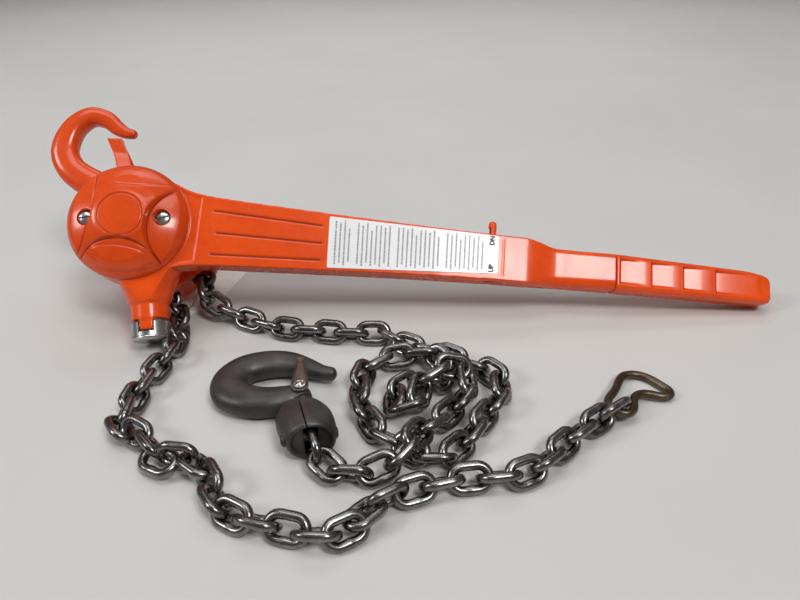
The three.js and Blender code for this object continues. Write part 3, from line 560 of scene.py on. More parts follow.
def lift(places):
    """Raises links that would reach below the bench."""
    out = []
    for c, t, n in places:
        t = t / np.linalg.norm(t)
        n = n - t * np.dot(n, t)
        n = n / np.linalg.norm(n)
        b = np.cross(n, t)
        low = float((LINK_V[:, 0] * t[2] + LINK_V[:, 1] * b[2] + LINK_V[:, 2] * n[2]).min()) + c[2]
        out.append((c + np.array([0, 0, max(0.0, 0.05 - low)]), t, n))
    return out


def lay_on_itself(flat, top=27.0):
    """Heights for a route that crosses itself: a later run lies over an earlier one."""
    line, S = spline([(x, y, 0) for x, y in flat], None)
    n = int(S[-1] // 4)
    s = np.linspace(0, S[-1], n)
    P = along(line, S, s)
    z = np.full(n, LOW)
    for _ in range(260):
        lift = np.full(n, LOW)
        for i in range(n):
            far = np.where(s[:i] < s[i] - 46)[0]
            if len(far):
                d = np.hypot(P[far, 0] - P[i, 0], P[far, 1] - P[i, 1])
                near = d < 13.5
                if near.any():
                    lift[i] = max(LOW, np.max(z[far[near]] + 12.0 * (1 - (d[near] / 13.5) ** 2) ** 0.5))
        new = np.maximum(lift, np.concatenate([[z[0]], (z[:-2] + z[2:]) / 2, [z[-1]]]) * 0.985 + LOW * 0.015)
        new = np.minimum(new, top)
        new[:3] = LOW
        z = 0.6 * z + 0.4 * new
    return P, z, s


P_, z_, s_ = lay_on_itself(PILE_ROUTE)
pile = [[P_[i, 0], P_[i, 1], z_[i]] for i in range(0, len(P_), 3)]
fade = np.clip((s_[-1] - s_[::3][: len(pile)]) / 40, 0, 1)
for i, p in enumerate(pile):
    p[2] = LOW + (p[2] - LOW) * fade[i]
LOAD_FULL = LOAD_ROUTE + pile[:-1] + [[-45.5, 292.6, LOW], [-51.5, 299.0, 9.5], [-57.0, 304.8, 13], [-60.2, 311.5, 16.2], [-61.6, 319.5, 16.6]]
_, load_len = spline(LOAD_FULL, None)
load_total = load_len[-1]
# the last link hangs on the block's bolt, with its middle 9.2 mm short of the route's end
load_first = 8.7
load_last = load_total - 9.2
load_count = int(round((load_last - load_first) / 18.35)) + 1
if load_count % 2 == 0:
    load_count -= 1
load_pitch = (load_last - load_first) / (load_count - 1)
load_places, _, load_line = strand_places(
    LOAD_FULL, [(0, 31.7), (60, 31.7), (120, 45), (load_total - 70, 45), (load_total - 18, 90), (load_total, 90)], load_first, load_pitch, load_count, 5)
_, tail_len = spline(TAIL_ROUTE, None)
tail_total = tail_len[-1]
tail_first = 8.7
tail_count = int(math.ceil((tail_total - tail_first) / 18.5)) + 1
tail_pitch = (tail_total - tail_first) / (tail_count - 1)
tail_places = strand_places(TAIL_ROUTE, [(0, 31.7), (60, 31.7), (120, 45)], tail_first, tail_pitch, tail_count, 5)[0]
k0 = len(tail_places)
centres = settle([c for c, t, n in tail_places] + [l[:3] for l in TAIL_LINKS], 18.6)
ahead = np.vstack([centres[1:], 2 * centres[-1] - centres[-2]]) - np.vstack([2 * centres[0] - centres[1], centres[:-1]])
for k in range(k0):
    tail_places[k] = (centres[k], tail_places[k][1], tail_places[k][2])
for (x_, y_, z_3, turn), c, t in zip(TAIL_LINKS, centres[k0:], ahead[k0:]):
    t = t / np.linalg.norm(t)
    side = np.cross(t, [0, 0, 1.0])
    side /= np.linalg.norm(side)
    n = math.cos(rad(turn)) * np.cross(side, t) + math.sin(rad(turn)) * side
    tail_places.append((c, t, n))
tail_places = lift(tail_places)
load_places = lift(load_places)
gaps = np.linalg.norm(np.diff(np.array([c for c, t, n in tail_places]), axis=0), axis=1)
print("links", load_count, round(load_pitch, 2), len(tail_places), "tail gaps", round(float(gaps.min()), 1), round(float(gaps.max()), 1), "pile height", round(float(z_.max()), 1))
print("load", [[round(float(v), 1) for v in c] for c, t, n in load_places[:16]])


def as_path(line, S, a, b, every=9.0):
    q = np.linspace(a, b, int((b - a) / every) + 2)
    p = along(line, S, q) + np.array([-5.03, -522.38, 0])
    return (p * MM).tolist()


load_chain = place(links_at("load_chain", load_places, BENCH), "load_chain", "frame", CHAIN, ("load_strand", "chain_pile"))
tail_chain = place(links_at("tail_chain", tail_places, BENCH), "tail_chain", "frame", CHAIN, "tail_strand")
load_path = as_path(spline(LOAD_FULL, None)[0], load_len, load_first, load_last + 6)


# the links that the lift wheel holds
for i, a in enumerate([90, 135, 180, 225, 270]):
    c = Vector((math.cos(rad(a)), math.sin(rad(a)), 0))
    t = Vector((-math.sin(rad(a)), math.cos(rad(a)), 0))
    r = 21.1 if i % 2 else 18.4
    n = Vector((0, 0, 1)) if i % 2 else c
    o = links_at("wheel_link", [(np.array(c * r) + np.array([0, 0, MID_Z]), np.array(t), np.array(n))], FRAME)
    place(o, "wheel_link_%d" % (i + 1), "frame", CHAIN, "chain_link_%d" % (i + 1))


def tube_loop(points, radius, sides=16, flat=1.0):
    """A closed tube through points, which lie in a level plane; radius may be a list."""
    P = np.asarray(points, float)
    n = len(P)
    R = np.full(n, radius) if np.isscalar(radius) else np.asarray(radius)
    v, f = [], []
    for i in range(n):
        t = P[(i + 1) % n] - P[i - 1]
        t /= np.linalg.norm(t)
        o = np.cross(t, [0, 0, 1.0])
        for k in range(sides):
            a = 2 * math.pi * k / sides
            v.append(P[i] + o * R[i] * math.cos(a) + np.array([0, 0, R[i] * flat * math.sin(a)]))
    for i in range(n):
        for k in range(sides):
            j, l = (i + 1) % n, (k + 1) % sides
            f.append((i * sides + k, j * sides + k, j * sides + l, i * sides + l))
    return v, f


END = [[166.8, 381.6], [173, 389.3], [184.1, 391.1], [192.4, 385.8], [198.2, 377.9], [202.3, 371.4], [200.7, 365.7], [193.3, 363.9], [183, 366.7], [174.7, 364.1],
       [169.7, 356.5], [167.4, 348], [161, 341.4], [154.3, 342.8], [149.1, 348.4], [151.8, 358.1], [156.6, 364.6], [161.8, 372.4]]
line, S = spline([(x, y, 3.4 + 6.2 * min(1, max(0, 1 - ((x - 151) * 0.745 + (y - 345) * 0.667) / 55))) for x, y in END[-2:] + END + END[:3]], None)
i0 = int(np.argmin(np.linalg.norm(line[: len(line) // 3, :2] - np.array(END[0]), axis=1)))
tail_part = line[len(line) // 2:]
i1 = len(line) // 2 + int(np.argmin(np.linalg.norm(tail_part[:, :2] - np.array(END[0]), axis=1)))
q = np.linspace(S[i0], S[i1], 145)[:-1]
ring_line = along(line, S, q)
for _ in range(6):
    ring_line = 0.5 * ring_line + 0.25 * (np.roll(ring_line, 1, 0) + np.roll(ring_line, -1, 0))
v, f = tube_loop(ring_line, 3.2)
end_loop = place(outward(obj_from("end_ring", v, f, BENCH)), "end_ring", "frame", RING, "end_loop")


# ---- light and floor ------------------------------------------------------------------------
world_ = bpy.data.worlds.new("studio")
bpy.context.scene.world = world_
world_.use_nodes = True
bg = world_.node_tree.nodes["Background"]
bg.inputs["Color"].default_value = (0.84, 0.83, 0.81, 1)
bg.inputs["Strength"].default_value = 0.175


def softbox(name, at, aim, size, power, color=(1, 1, 1)):
    d = bpy.data.lights.new(name, "AREA")
    d.shape, d.size, d.size_y = "RECTANGLE", size[0], size[1]
    d.energy, d.color = power, color
    o = bpy.data.objects.new(name, d)
    bpy.context.scene.collection.objects.link(o)
    at, aim = Vector(at), Vector(aim)
    z = (at - aim).normalized()
    x = Vector((1, 0, 0)) - z * z.x
    x.normalize()
    y = z.cross(x)
    mm = Matrix.Identity(4)
    for k in range(3):
        mm[k][0], mm[k][1], mm[k][2], mm[k][3] = x[k], y[k], z[k], at[k]
    o.matrix_world = mm
    return o


# the front light is where the lever's front face mirrors it just beyond the label
softbox("front_light", (1.034, -1.531, 2.479), (0.06, -0.05, 0.05), (0.80, 0.62), 39.5, (1, 0.985, 0.97))
softbox("left_light", (-1.75, -0.62, 1.40), (-0.2, -0.05, 0.05), (0.62, 0.62), 15, (0.97, 0.985, 1))
softbox("top_light", (-0.1, -0.15, 2.2), (0, 0.0, 0), (1.8, 0.8), 14.5, (1, 1, 1))
back = softbox("back_light", (-0.1, 1.95, 2.4), (-0.1, 1.35, 0), (3.0, 1.3), 8.5, (1, 1, 1))
back.data.spread = rad(70)

floor_mat, nt, bs, co = new_material("floor_pale")
nt.links.new(ramp(nt, noise(nt, co, 3.0, 4), [(0.3, (0.57, 0.56, 0.545)), (0.7, (0.61, 0.60, 0.585))]), bs.inputs["Base Color"])
bs.inputs["Roughness"].default_value = 0.55
X, Y, Z = [], [], []
verts, faces = [], []
profile = [(-9000, 0), (0, 0), (7000, 0), (7400, 60), (7700, 220), (7900, 500), (8000, 900), (8000, 4000)]
for x in (-9000, 9000):
    for y, z in profile:
        verts.append((x, y, z))
k = len(profile)
for i in range(k - 1):
    faces.append((i, i + k, i + 1 + k, i + 1))
floor = obj_from("floor", verts, faces)
floor.data.materials.append(floor_mat)

# ---- lever ------------------------------------------------------------------------------------
ARM_TOP = [[30, 39.5], [38.8, 35.9], [46, 33], [58, 30.6], [87, 28.4], [127, 26.6], [165, 25], [235, 22.6], [311, 20.6], [338, 20.2], [352, 18], [364, 15.6], [418.2, 14.55]]
ARM_BOT = [[30, -39.5], [40, -36], [50, -33.2], [71, -30.6], [113, -28.4], [166, -25.8], [235, -22.8], [313, -20.4], [340, -20], [364, -19.2], [418.2, -18.35]]
top_line = spline([(x, y, 0) for x, y in ARM_TOP], 90)[:, :2]
bot_line = spline([(x, y, 0) for x, y in ARM_BOT], 90)[:, :2]


def arm_y(line_, x):
    return np.interp(x, line_[:, 0], line_[:, 1])


outline = [tuple(p) for p in bot_line] + [tuple(p) for p in top_line[::-1]]
xs = np.linspace(30, 370, 60)
channel = [(x, arm_y(bot_line, x) + 4) for x in xs] + [(398, -14.8), (398, 10.8)] + [(x, arm_y(top_line, x) - 4) for x in xs[::-1]]
SCREW = (30.7, 2.95)
casting = disc(49.5, -32, 0, n=160)
boss = move(lathe([(0, 20), (30, 20), (27.6, 40), (24.8, 46), (22.2, 51.5), (20.2, 56.5), (18.6, 61), (17.4, 65), (17.1, 66.6), (15.4, 67.1), (15.4, 81), (0, 81)], 96), BOSS_T)
join_all(casting, prism(outline, -21, 0), block(412, 528, -9.5, 6.5, -18, -7), boss, move(block(10.6, 14.6, -5.6, 5.6, 77, 90.2), BOSS_T))
cut_all(casting, block(-120, 48, -120, 60, 0, 40), block(-120, 60, -58, 60, -80, -32))
cut_all(casting, disc(44, -28.5, 5, n=120), prism(channel, -23, -3.6))
ring = cut_all(disc(49.5, -32, 0, n=160), disc(44, -33, 1, n=120))
join_all(casting, ring, *[disc(5.6, -31, -0.2, k * SCREW[0], k * SCREW[1], 32) for k in (1, -1)], disc(4.6, -31, -25.5, 27.5, 25.5, 32))
peg_hole = move(disc(3.95, -60, 60, n=40), Matrix.Translation((309.3, 0, -12)) @ rot(-90, "X"))
cut_all(casting, disc(12.4, -33, -27, n=48), disc(3.3, -33, -20, 27.5, 25.5, 24), block(36, 56, 10.6, 17.4, -17, -8), peg_hole,
        move(disc(4.9, 18, 60, n=32), BOSS_T), move(disc(10.2, 54, 100, n=48), BOSS_T), *[disc(3.3, -20, 1, k * SCREW[0], k * SCREW[1], 24) for k in (1, -1)])
remesh(casting, 0.74, 4)

relax(casting, 12, step(np.abs(normals(casting)[:, 2]), 0.55, 0.85))

# relief of the front face
p, nn = coords(casting), normals(casting)
x, y, z = p[:, 0].copy(), p[:, 1].copy(), p[:, 2].copy()
front = step(nn[:, 2], 0.55, 0.9) * step(z, -3.2, -1.2)
r = np.hypot(x, y)
ty, by = arm_y(top_line, x), arm_y(bot_line, x)
inside = step(np.minimum(ty - y, y - by), 2.0, 4.5)
dz = -0.9 * step(r, 49.6, 50.4) * (1 - step(x, 56.7, 57.9)) * inside * step(x, 30, 36)


def groove(a, b, width, depth):
    a, b = np.array(a, float), np.array(b, float)
    d = b - a
    L = np.linalg.norm(d)
    d = d / L
    t = (x - a[0]) * d[0] + (y - a[1]) * d[1]
    s = -(x - a[0]) * d[1] + (y - a[1]) * d[0]
    ends = np.minimum(step(t, -1, 2.5), step(L - t, -1, 2.5))
    return -depth * np.clip(1 - np.abs(s) / width, 0, 1) * ends


lines = groove((67, 17), (162, 13), 1.5, 0.8) + groove((71, -2.2), (163, -2.4), 1.5, 0.8) + groove((69, -21.2), (163, -17.2), 1.5, 0.8)
dz += lines
dz += -0.2 * np.exp(-(((x - 317.6) / 0.9) ** 2)) * inside
z = z + dz * front
# facets before the grip: level, down the neck, and slowly up to the seam; the channel's roof follows
drop = -4.6 * step(x, 336.5, 366.5) + 3.6 * step(x, 364, 378) * np.clip((x - 366) / 52, 0, 1)



def shoulder(edge, R):
    return R - np.sqrt(np.clip(R * R - np.clip(R - edge, 0, R) ** 2, 0, None))


fall = np.maximum(shoulder(ty - y, 5.0), 0.9 * shoulder(y - by, 8.6))
z = z - fall * step(x, 343, 368) * step(z, -19, -1.5) * 0.92
z = z + drop * step(z, -18, -5.5) * (x > 330)
p[:, 2] = z
set_coords(casting, p)
keep = np.clip(front * inside, 0, 1) * 0.8
relax(casting, 1, keep)
casting.data.shade_smooth()
# the groove attribute marks the lever's grooves, where the paint material puts painted shade
attr = casting.data.attributes.new("groove", "FLOAT", "POINT")
attr.data.foreach_set("value", np.clip((-lines - 0.12) / 0.62 * front, 0, 0.8).astype(np.float32))
place(casting, "casting", "lever", ORANGE, "lever_casting", TOOL)

# ---- hand grip ----------------------------------------------------------------------------------
GX0, GX1 = 418.9, 561.0
GY0, GY1, GZ0, GZ1 = -18.4, 14.6, -24.6, -1.2
TEETH = [(421.8, 447.0, 2.5), (450.0, 474.9, 2.6), (479.0, 503.8, 2.7), (508.0, 548.5, 3.0)]
gx = np.concatenate([[GX0, GX0 + 0.25, GX0 + 0.8], np.arange(GX0 + 1.4, 551.5, 0.7), 551.5 + 9.5 * np.sin(np.linspace(0, math.pi / 2, 16))])
nc = 150
cy, cz, hw, hd = (GY0 + GY1) / 2, (GZ0 + GZ1) / 2, (GY1 - GY0) / 2, (GZ1 - GZ0) / 2


def rounded(n, hw_, hd_, rf, rb):
    """A rounded box section: rf at the front corners, rb at the back ones."""
    pts = []
    corners = [(hw_ - rf, hd_ - rf, rf, 0), (-hw_ + rf, hd_ - rf, rf, 90), (-hw_ + rb, -hd_ + rb, rb, 180), (hw_ - rb, -hd_ + rb, rb, 270)]
    for cx_, cy_, rr, a0 in corners:
        for i in range(10):
            a = rad(a0 + 90 * i / 9)
            pts.append((cx_ + rr * math.cos(a), cy_ + rr * math.sin(a)))
    P = np.array(pts + [pts[0]])
    s = np.concatenate([[0], np.cumsum(np.linalg.norm(np.diff(P, axis=0), axis=1))])
    q = np.linspace(0, s[-1], n, endpoint=False)
    return np.stack([np.interp(q, s, P[:, 0]), np.interp(q, s, P[:, 1])], 1)


V = []
for i, xx in enumerate(gx):
    e = max(0.0, (xx - 551.5) / 9.5)
    inset = 8.0 * (1 - math.sqrt(max(0.0, 1 - e * e)))
    if xx < GX0 + 1:
        inset = 0.35 * (1 - (xx - GX0) / 1.0)
    sec = rounded(nc, hw, hd, 5.2, 6.0)
    k1, k2 = (hw - inset) / hw, (hd - inset) / hd
    for sy, sz in sec:
        V.append((xx, cy + sy * k1, cz + sz * k2))
V = np.array(V)
fr = step(V[:, 2], -5.0, -2.0)
side = np.minimum(step(GY1 - V[:, 1], 3.4, 5.6), step(V[:, 1] - GY0, 5.2, 7.6))
taper = 0.034 * (V[:, 0] - GX0) + 2.6 * step(V[:, 0], 535, 561)
depth = np.zeros(len(V))
for a, b, d in TEETH:
    t = np.clip((V[:, 0] - a) / (b - a), 0, 1)
    on = step(V[:, 0], a - 0.5, a + 0.9) * (V[:, 0] < b + 0.4)
    depth += on * d * (1 - t) ** 1.55
V[:, 2] -= depth * fr * side
V[:, 1] -= taper * (V[:, 1] - GY0) / (GY1 - GY0)
# a shallow dish where the end rounds over
dd = np.hypot((V[:, 0] - 552.5) / 5.0, (V[:, 1] + 1.5) / 9.5)
V[:, 2] -= 1.4 * np.exp(-(dd ** 4)) * fr
F = []
for i in range(len(gx) - 1):
    for k in range(nc):
        F.append((i * nc + k, i * nc + (k + 1) % nc, (i + 1) * nc + (k + 1) % nc, (i + 1) * nc + k))
n0 = len(V)
V = np.vstack([V, [[GX0, cy, cz], [GX1, cy, cz]]])
for k in range(nc):
    F.append((n0, (k + 1) % nc, k))
    F.append((n0 + 1, (len(gx) - 1) * nc + k, (len(gx) - 1) * nc + (k + 1) % nc))
grip = outward(obj_from("grip", V, F))
boolean(grip, block(400, 529, -9.9, 6.9, -18.4, -6.6), "DIFFERENCE")
grip.data.shade_smooth()
place(grip, "grip", "lever", ORANGE, "grip_sleeve", TOOL)

# ---- front cover --------------------------------------------------------------------------------
DOME = [(0, 21.9), (17.9, 21.9), (19.6, 21.75), (22, 20.9), (25, 19.4), (30, 16.9), (34, 14.6), (38, 12.3), (42, 9.8), (45.5, 7.0), (47.6, 4.6), (48.9, 2.4), (49.4, 1.2)]


def circle3(a, b, c):
    (ax, ay), (bx, by_), (cx_, cy_) = a, b, c
    d = 2 * (ax * (by_ - cy_) + bx * (cy_ - ay) + cx_ * (ay - by_))
    ux = ((ax * ax + ay * ay) * (by_ - cy_) + (bx * bx + by_ * by_) * (cy_ - ay) + (cx_ * cx_ + cy_ * cy_) * (ay - by_)) / d
    uy = ((ax * ax + ay * ay) * (cx_ - bx) + (bx * bx + by_ * by_) * (ax - cx_) + (cx_ * cx_ + cy_ * cy_) * (bx - ax)) / d
    return ux, uy, math.hypot(ax - ux, ay - uy)


LENSES = [  # boundary arc, and the plane inside: height at a point, slope in x and y
    (circle3((-28.2, 34.5), (-24.0, 8.0), (-34.1, -36.7)), (-33.0, -1.5, 12.6), (0.27, 0.01)),
    (circle3((37.0, 30.9), (18.6, -3.0), (34.6, -37.9)), (32.5, -1.0, 12.6), (-0.30, 0.01)),
    (circle3((-34.2, -38.3), (0.5, -17.3), (37.5, -37.9)), (2.0, -32, 14.4), (0.0, 0.30)),
    (circle3((-31.0, 31.0), (0.0, 25.5), (31.0, 31.5)), (0.0, 36, 13.3), (0.0, -0.42)),
]
CREASE = (1.5, 1.2, 1.3, 0.35)


def cover_height(x, y):
    r = np.hypot(x, y)
    base = np.interp(r, [a for a, _ in DOME], [b for _, b in DOME])
    z = base.copy()
    for i_, ((cx_, cy_, R), (px, py, pz), (sx, sy)) in enumerate(LENSES):
        inside_ = R - np.hypot(x - cx_, y - cy_)
        plane = pz + sx * (x - px) + sy * (y - py)
        d = np.hypot(x - px, y - py)
        plane = plane - (0.0062 if i_ < 2 else 0.0025) * d * d
        w = step(inside_, -0.4, 2.4) * (1 - step(r, 46.2, 49.2))
        low = np.minimum(base, plane)
        z = z * (1 - w) + np.minimum(z, low) * w
        # soft dark crease along the arc
        z -= CREASE[i_] * np.exp(-(((inside_ - 1.5) / 0.75) ** 2)) * (1 - step(r, 46.5, 49.2))
    # ring groove of the bare round centre
    z -= 0.85 * np.exp(-(((r - 17.8) / 0.65) ** 2))
    # oval in the lower lens
    u, w2 = (x + 0.8) / 27.4, (y + 34.4) / 9.6
    e = (np.sqrt(u * u + w2 * w2) - 1) * 9.6
    z += 0.35 * (1 - step(e, -1.4, 0.0)) - 0.7 * np.exp(-(((e - 0.5) / 0.7) ** 2))
    return z


rr = np.concatenate([[0.0], np.linspace(1.5, 16, 14), np.linspace(16.4, 20, 16), np.linspace(20.6, 46, 62), 46 + 3.4 * np.sin(np.linspace(0.08, math.pi / 2, 16))])
na = 460
V = [(0.0, 0.0)]
for r_ in rr[1:]:
    for k in range(na):
        a = 2 * math.pi * k / na
        V.append((r_ * math.cos(a), r_ * math.sin(a)))
V = np.array(V)
Z = cover_height(V[:, 0], V[:, 1])
# a light blur rounds every crease
nr = len(rr) - 1
G = Z[1:].reshape(nr, na)
for _ in range(1):
    inner = np.vstack([np.full(na, Z[0]), G[:-1]])
    outer = np.vstack([G[1:], G[-1]])
    wr = (rr[1:, None] > 15)
    around_ = 0.5 * (np.roll(G, 1, 1) + np.roll(G, -1, 1))
    G = np.where(wr & (rr[1:, None] < 48.6), 0.5 * G + 0.25 * around_ + 0.125 * (inner + outer), G)
Z[1:] = G.ravel()
V3 = np.column_stack([V, Z])
F = [(0, 1 + k, 1 + (k + 1) % na) for k in range(na)]
for i in range(nr - 1):
    for k in range(na):
        a, b = 1 + i * na + k, 1 + i * na + (k + 1) % na
        F.append((a, a + na, b + na, b))
last = 1 + (nr - 1) * na
skirt = [(49.5, 0.3), (40, 0.3), (37, 4.3), (24, 6.5), (17, 12), (0.0, 13)]
extra = []
base_i = len(V3)
rings_ = [list(range(last, last + na))]
for r_, z_2 in skirt[:-1]:
    rings_.append(list(range(base_i + len(extra), base_i + len(extra) + na)))
    extra += [(r_ * math.cos(2 * math.pi * k / na), r_ * math.sin(2 * math.pi * k / na), z_2) for k in range(na)]
centre = base_i + len(extra)
extra.append((0, 0, skirt[-1][1]))
V3 = np.vstack([V3, extra])
for a_, b_ in zip(rings_, rings_[1:]):
    for k in range(na):
        F.append((a_[k], b_[k], b_[(k + 1) % na], a_[(k + 1) % na]))
for k in range(na):
    F.append((rings_[-1][k], centre, rings_[-1][(k + 1) % na]))
cover = outward(obj_from("cover", V3, F))
for k in (1, -1):
    cx_, cy_ = k * SCREW[0], k * SCREW[1]
    seat = move(lathe([(0, 8.2), (6.5, 8.2), (6.6, 8.5), (6.6, 11.6), (7.2, 12.6), (7.2, 30), (0, 30)], 64), Matrix.Translation((cx_, cy_, 0)))
    boolean(cover, seat, "DIFFERENCE")
    boolean(cover, disc(3.3, -1, 20, cx_, cy_, 32), "DIFFERENCE")


def shade_by_angle(o, deg=32):
    """Smooth shading with sharp edges where faces meet steeply."""
    me = o.data
    me.shade_smooth()
    bm = bmesh.new()
    bm.from_mesh(me)
    lim = rad(deg)
    for e in bm.edges:
        e.smooth = not (len(e.link_faces) == 2 and e.calc_face_angle(0) > lim)
    bm.to_mesh(me)
    bm.free()
    return o


shade_by_angle(cover, 40)
# the cover wears the darker copy of the orange paint, as painted shade
place(cover, "cover", "lever", SHADED_ORANGE, "front_cover", TOOL)


def slotted_screw(name, node, at, turn, body):
    """Countersunk-dome screw with a slot, its shank in the same piece."""
    head = lathe([(0, -18), (2.9, -17.6), (2.9, 8.3), (5.9, 8.3), (6.2, 8.7), (6.2, 9.8), (5.7, 10.6), (4.4, 11.3), (2.4, 11.75), (0, 11.9)], 64)
    boolean(head, block(-9, 9, -0.85, 0.85, 10.0, 14), "DIFFERENCE")
    move(head, Matrix.Translation((at[0], at[1], 0)) @ rot(turn, "Z"))
    shade_by_angle(head, 35)
    return place(head, name, body, ZINC, node, TOOL)


slotted_screw("screw_right", "cover_screw_right", SCREW, 24, "lever")
slotted_screw("screw_left", "cover_screw_left", (-SCREW[0], -SCREW[1]), 14, "lever")

# ---- label --------------------------------------------------------------------------------------
LAB = [(166, 21.8), (313.0, 18.8), (313.0, -14.7), (167.9, -23.4)]


def label_at(u, w):
    """u from 0 at the label's left end to 1, w from 0 at its bottom to 1."""
    a = np.array(LAB[3]) * (1 - u) + np.array(LAB[2]) * u
    b = np.array(LAB[0]) * (1 - u) + np.array(LAB[1]) * u
    return a * (1 - w) + b * w


def corner_round(quad, r, n=6):
    out = []
    k = len(quad)
    for i in range(k):
        p0, p1, p2 = np.array(quad[i - 1], float), np.array(quad[i], float), np.array(quad[(i + 1) % k], float)
        a, b = (p0 - p1) / np.linalg.norm(p0 - p1), (p2 - p1) / np.linalg.norm(p2 - p1)
        for t in np.linspace(0, 1, n):
            out.append(tuple(p1 + a * r * (1 - t) ** 2 + b * r * t ** 2))
    return out


label = prism(corner_round(LAB, 1.6), 0.25, 0.62)
place(label, "label", "lever", LABEL, "label_plate", TOOL)
V, F = [], []


def mark(u0, u1, w0, w1, z=0.70):
    i = len(V)
    for u, w in ((u0, w0), (u1, w0), (u1, w1), (u0, w1)):
        q_ = label_at(u, w)
        V.append((q_[0], q_[1], z))
    for u, w in ((u0, w0), (u1, w0), (u1, w1), (u0, w1)):
        q_ = label_at(u, w)
        V.append((q_[0], q_[1], 0.6))
    F.extend([(i, i + 1, i + 2, i + 3), (i + 7, i + 6, i + 5, i + 4)] + [(i + k, i + 4 + k, i + 4 + (k + 1) % 4, i + (k + 1) % 4) for k in range(4)])


# columns of plain short bars, where a real label has its small print
cols = []
for k in range(34):
    if k not in (4, 13, 24):
        cols.append((0.036 + 0.0262 * k, (0.07, 0.10, 0.06, 0.13)[k % 4], (0.93, 0.90, 0.95, 0.80, 0.92)[k % 5]))
state = 7
for c_, lo, hi in cols:
    w = lo
    while w < hi:
        state = (state * 1103515245 + 12345) % 2147483648
        ln = 0.016 + 0.034 * (state / 2147483648)
        mark(c_, c_ + 0.0098, w, min(hi, w + ln))
        w += ln + 0.011
prints = obj_from("label_marks", V, F, None, False)
place(prints, "label_marks", "lever", INK, (), TOOL)


def words(text, size, at, turn, name):
    c = bpy.data.curves.new(name, "FONT")
    c.body, c.size, c.extrude, c.align_x, c.align_y = text, size * MM, 0.05 * MM, "CENTER", "CENTER"
    c.offset = 0.33 * MM
    o = bpy.data.objects.new(name, c)
    bpy.context.scene.collection.objects.link(o)
    dg = bpy.context.evaluated_depsgraph_get()
    me = bpy.data.meshes.new_from_object(o.evaluated_get(dg))
    bpy.data.objects.remove(o)
    n = bpy.data.objects.new(name, me)
    bpy.context.scene.collection.objects.link(n)
    move(n, Matrix.Translation((at[0], at[1], 0.66)) @ rot(turn, "Z"))
    return place(n, name, "lever", BLACK_INK, (), TOOL)


a = label_at(0.962, 0.86)
words("DN", 5.6, a, 90, "label_dn")
a = label_at(0.962, 0.13)
words("UP", 5.6, a, 90, "label_up")

# ---- selector pin, plunger cap ------------------------------------------------------------------
peg = move(lathe([(0, -20.9), (3.2, -20.9), (3.6, -20.5), (3.6, 31.6), (3.45, 33), (3.0, 34.2), (2.2, 35.0), (1.1, 35.4), (0, 35.5)], 48),
           Matrix.Translation((309.3, 0, -12)) @ rot(-90, "X"))
shade_by_angle(peg)
boolean(peg, block(301.3, 308.5, 10.8, 29.4, -15, -9), "DIFFERENCE")
shade_by_angle(peg)
place(peg, "selector_peg", "selector", ORANGE, "selector_pin", TOOL)

cap = lathe([(3.35, 93), (13.6, 93), (13.6, 83.2), (15.9, 83.2), (16.2, 83.5), (16.2, 94.9), (16.6, 95.4), (16.7, 96.2), (16.3, 97.0), (15.6, 97.4), (3.35, 97.4)], 96)
cap = cut_all(cap, block(-20, 20, -6.4, 6.4, 80, 91.6))
shade_by_angle(cap)
place(cap, "pull_cap", "plunger", ZINC, "plunger_cap", BOSS)


# ---- hooks --------------------------------------------------------------------------------------
def hook_body(pts, z_mid, half, tip_half, squareness=2.5, n=150, m=40, start_taper=False):
    """A forged bowl swept through [x, y, half width]; the section is a full rounded oval whose half height eases from
    half to tip_half towards the tip.
    """
    P = spline([(a, b, r_ * 3) for a, b, r_ in pts], n)
    line_, hw_ = P[:, :2], P[:, 2] / 3
    T = np.gradient(line_, axis=0)
    T /= np.linalg.norm(T, axis=1)[:, None]
    N = np.stack([T[:, 1], -T[:, 0]], 1)
    V, F = [], []
    s_ = np.linspace(0, 1, n)
    end = 1 - np.clip((s_ - 0.975) / 0.025, 0, 1) ** 2
    end = np.sqrt(np.clip(end, 0.02, 1))
    hh = half + (tip_half - half) * step(s_, 0.62, 0.97)
    for i in range(n):
        for k in range(m):
            a = 2 * math.pi * k / m
            ca, sa = math.cos(a), math.sin(a)
            u = abs(ca) ** (2 / squareness) * (1 if ca >= 0 else -1)
            w = abs(sa) ** (2 / squareness) * (1 if sa >= 0 else -1)
            q_ = line_[i] + N[i] * u * hw_[i] * end[i]
            V.append((q_[0], q_[1], z_mid + w * hh[i] * end[i]))
    for i in range(n - 1):
        for k in range(m):
            F.append((i * m + k, (i + 1) * m + k, (i + 1) * m + (k + 1) % m, i * m + (k + 1) % m))
    F.append(tuple(range(m - 1, -1, -1)))
    F.append(tuple((n - 1) * m + k for k in range(m)))
    return outward(obj_from("tmp", V, F))


def capsule(a, b, ra, rb, z0, z1, n=40):
    """A bar with round ends from a to b, seen from above."""
    a, b = np.array(a, float), np.array(b, float)
    pts = [a + ra * np.array([math.cos(t), math.sin(t)]) for t in np.linspace(0, 2 * math.pi, n, endpoint=False)]
    pts += [b + rb * np.array([math.cos(t), math.sin(t)]) for t in np.linspace(0, 2 * math.pi, n, endpoint=False)]
    pts = sorted({(round(float(x_), 4), round(float(y_), 4)) for x_, y_ in pts})

    def half_hull(points):
        h = []
        for q_ in points:
            while len(h) > 1 and (h[-1][0] - h[-2][0]) * (q_[1] - h[-2][1]) - (h[-1][1] - h[-2][1]) * (q_[0] - h[-2][0]) <= 1e-9:
                h.pop()
            h.append(q_)
        return h[:-1]

    return prism(half_hull(pts) + half_hull(pts[::-1]), z0, z1)


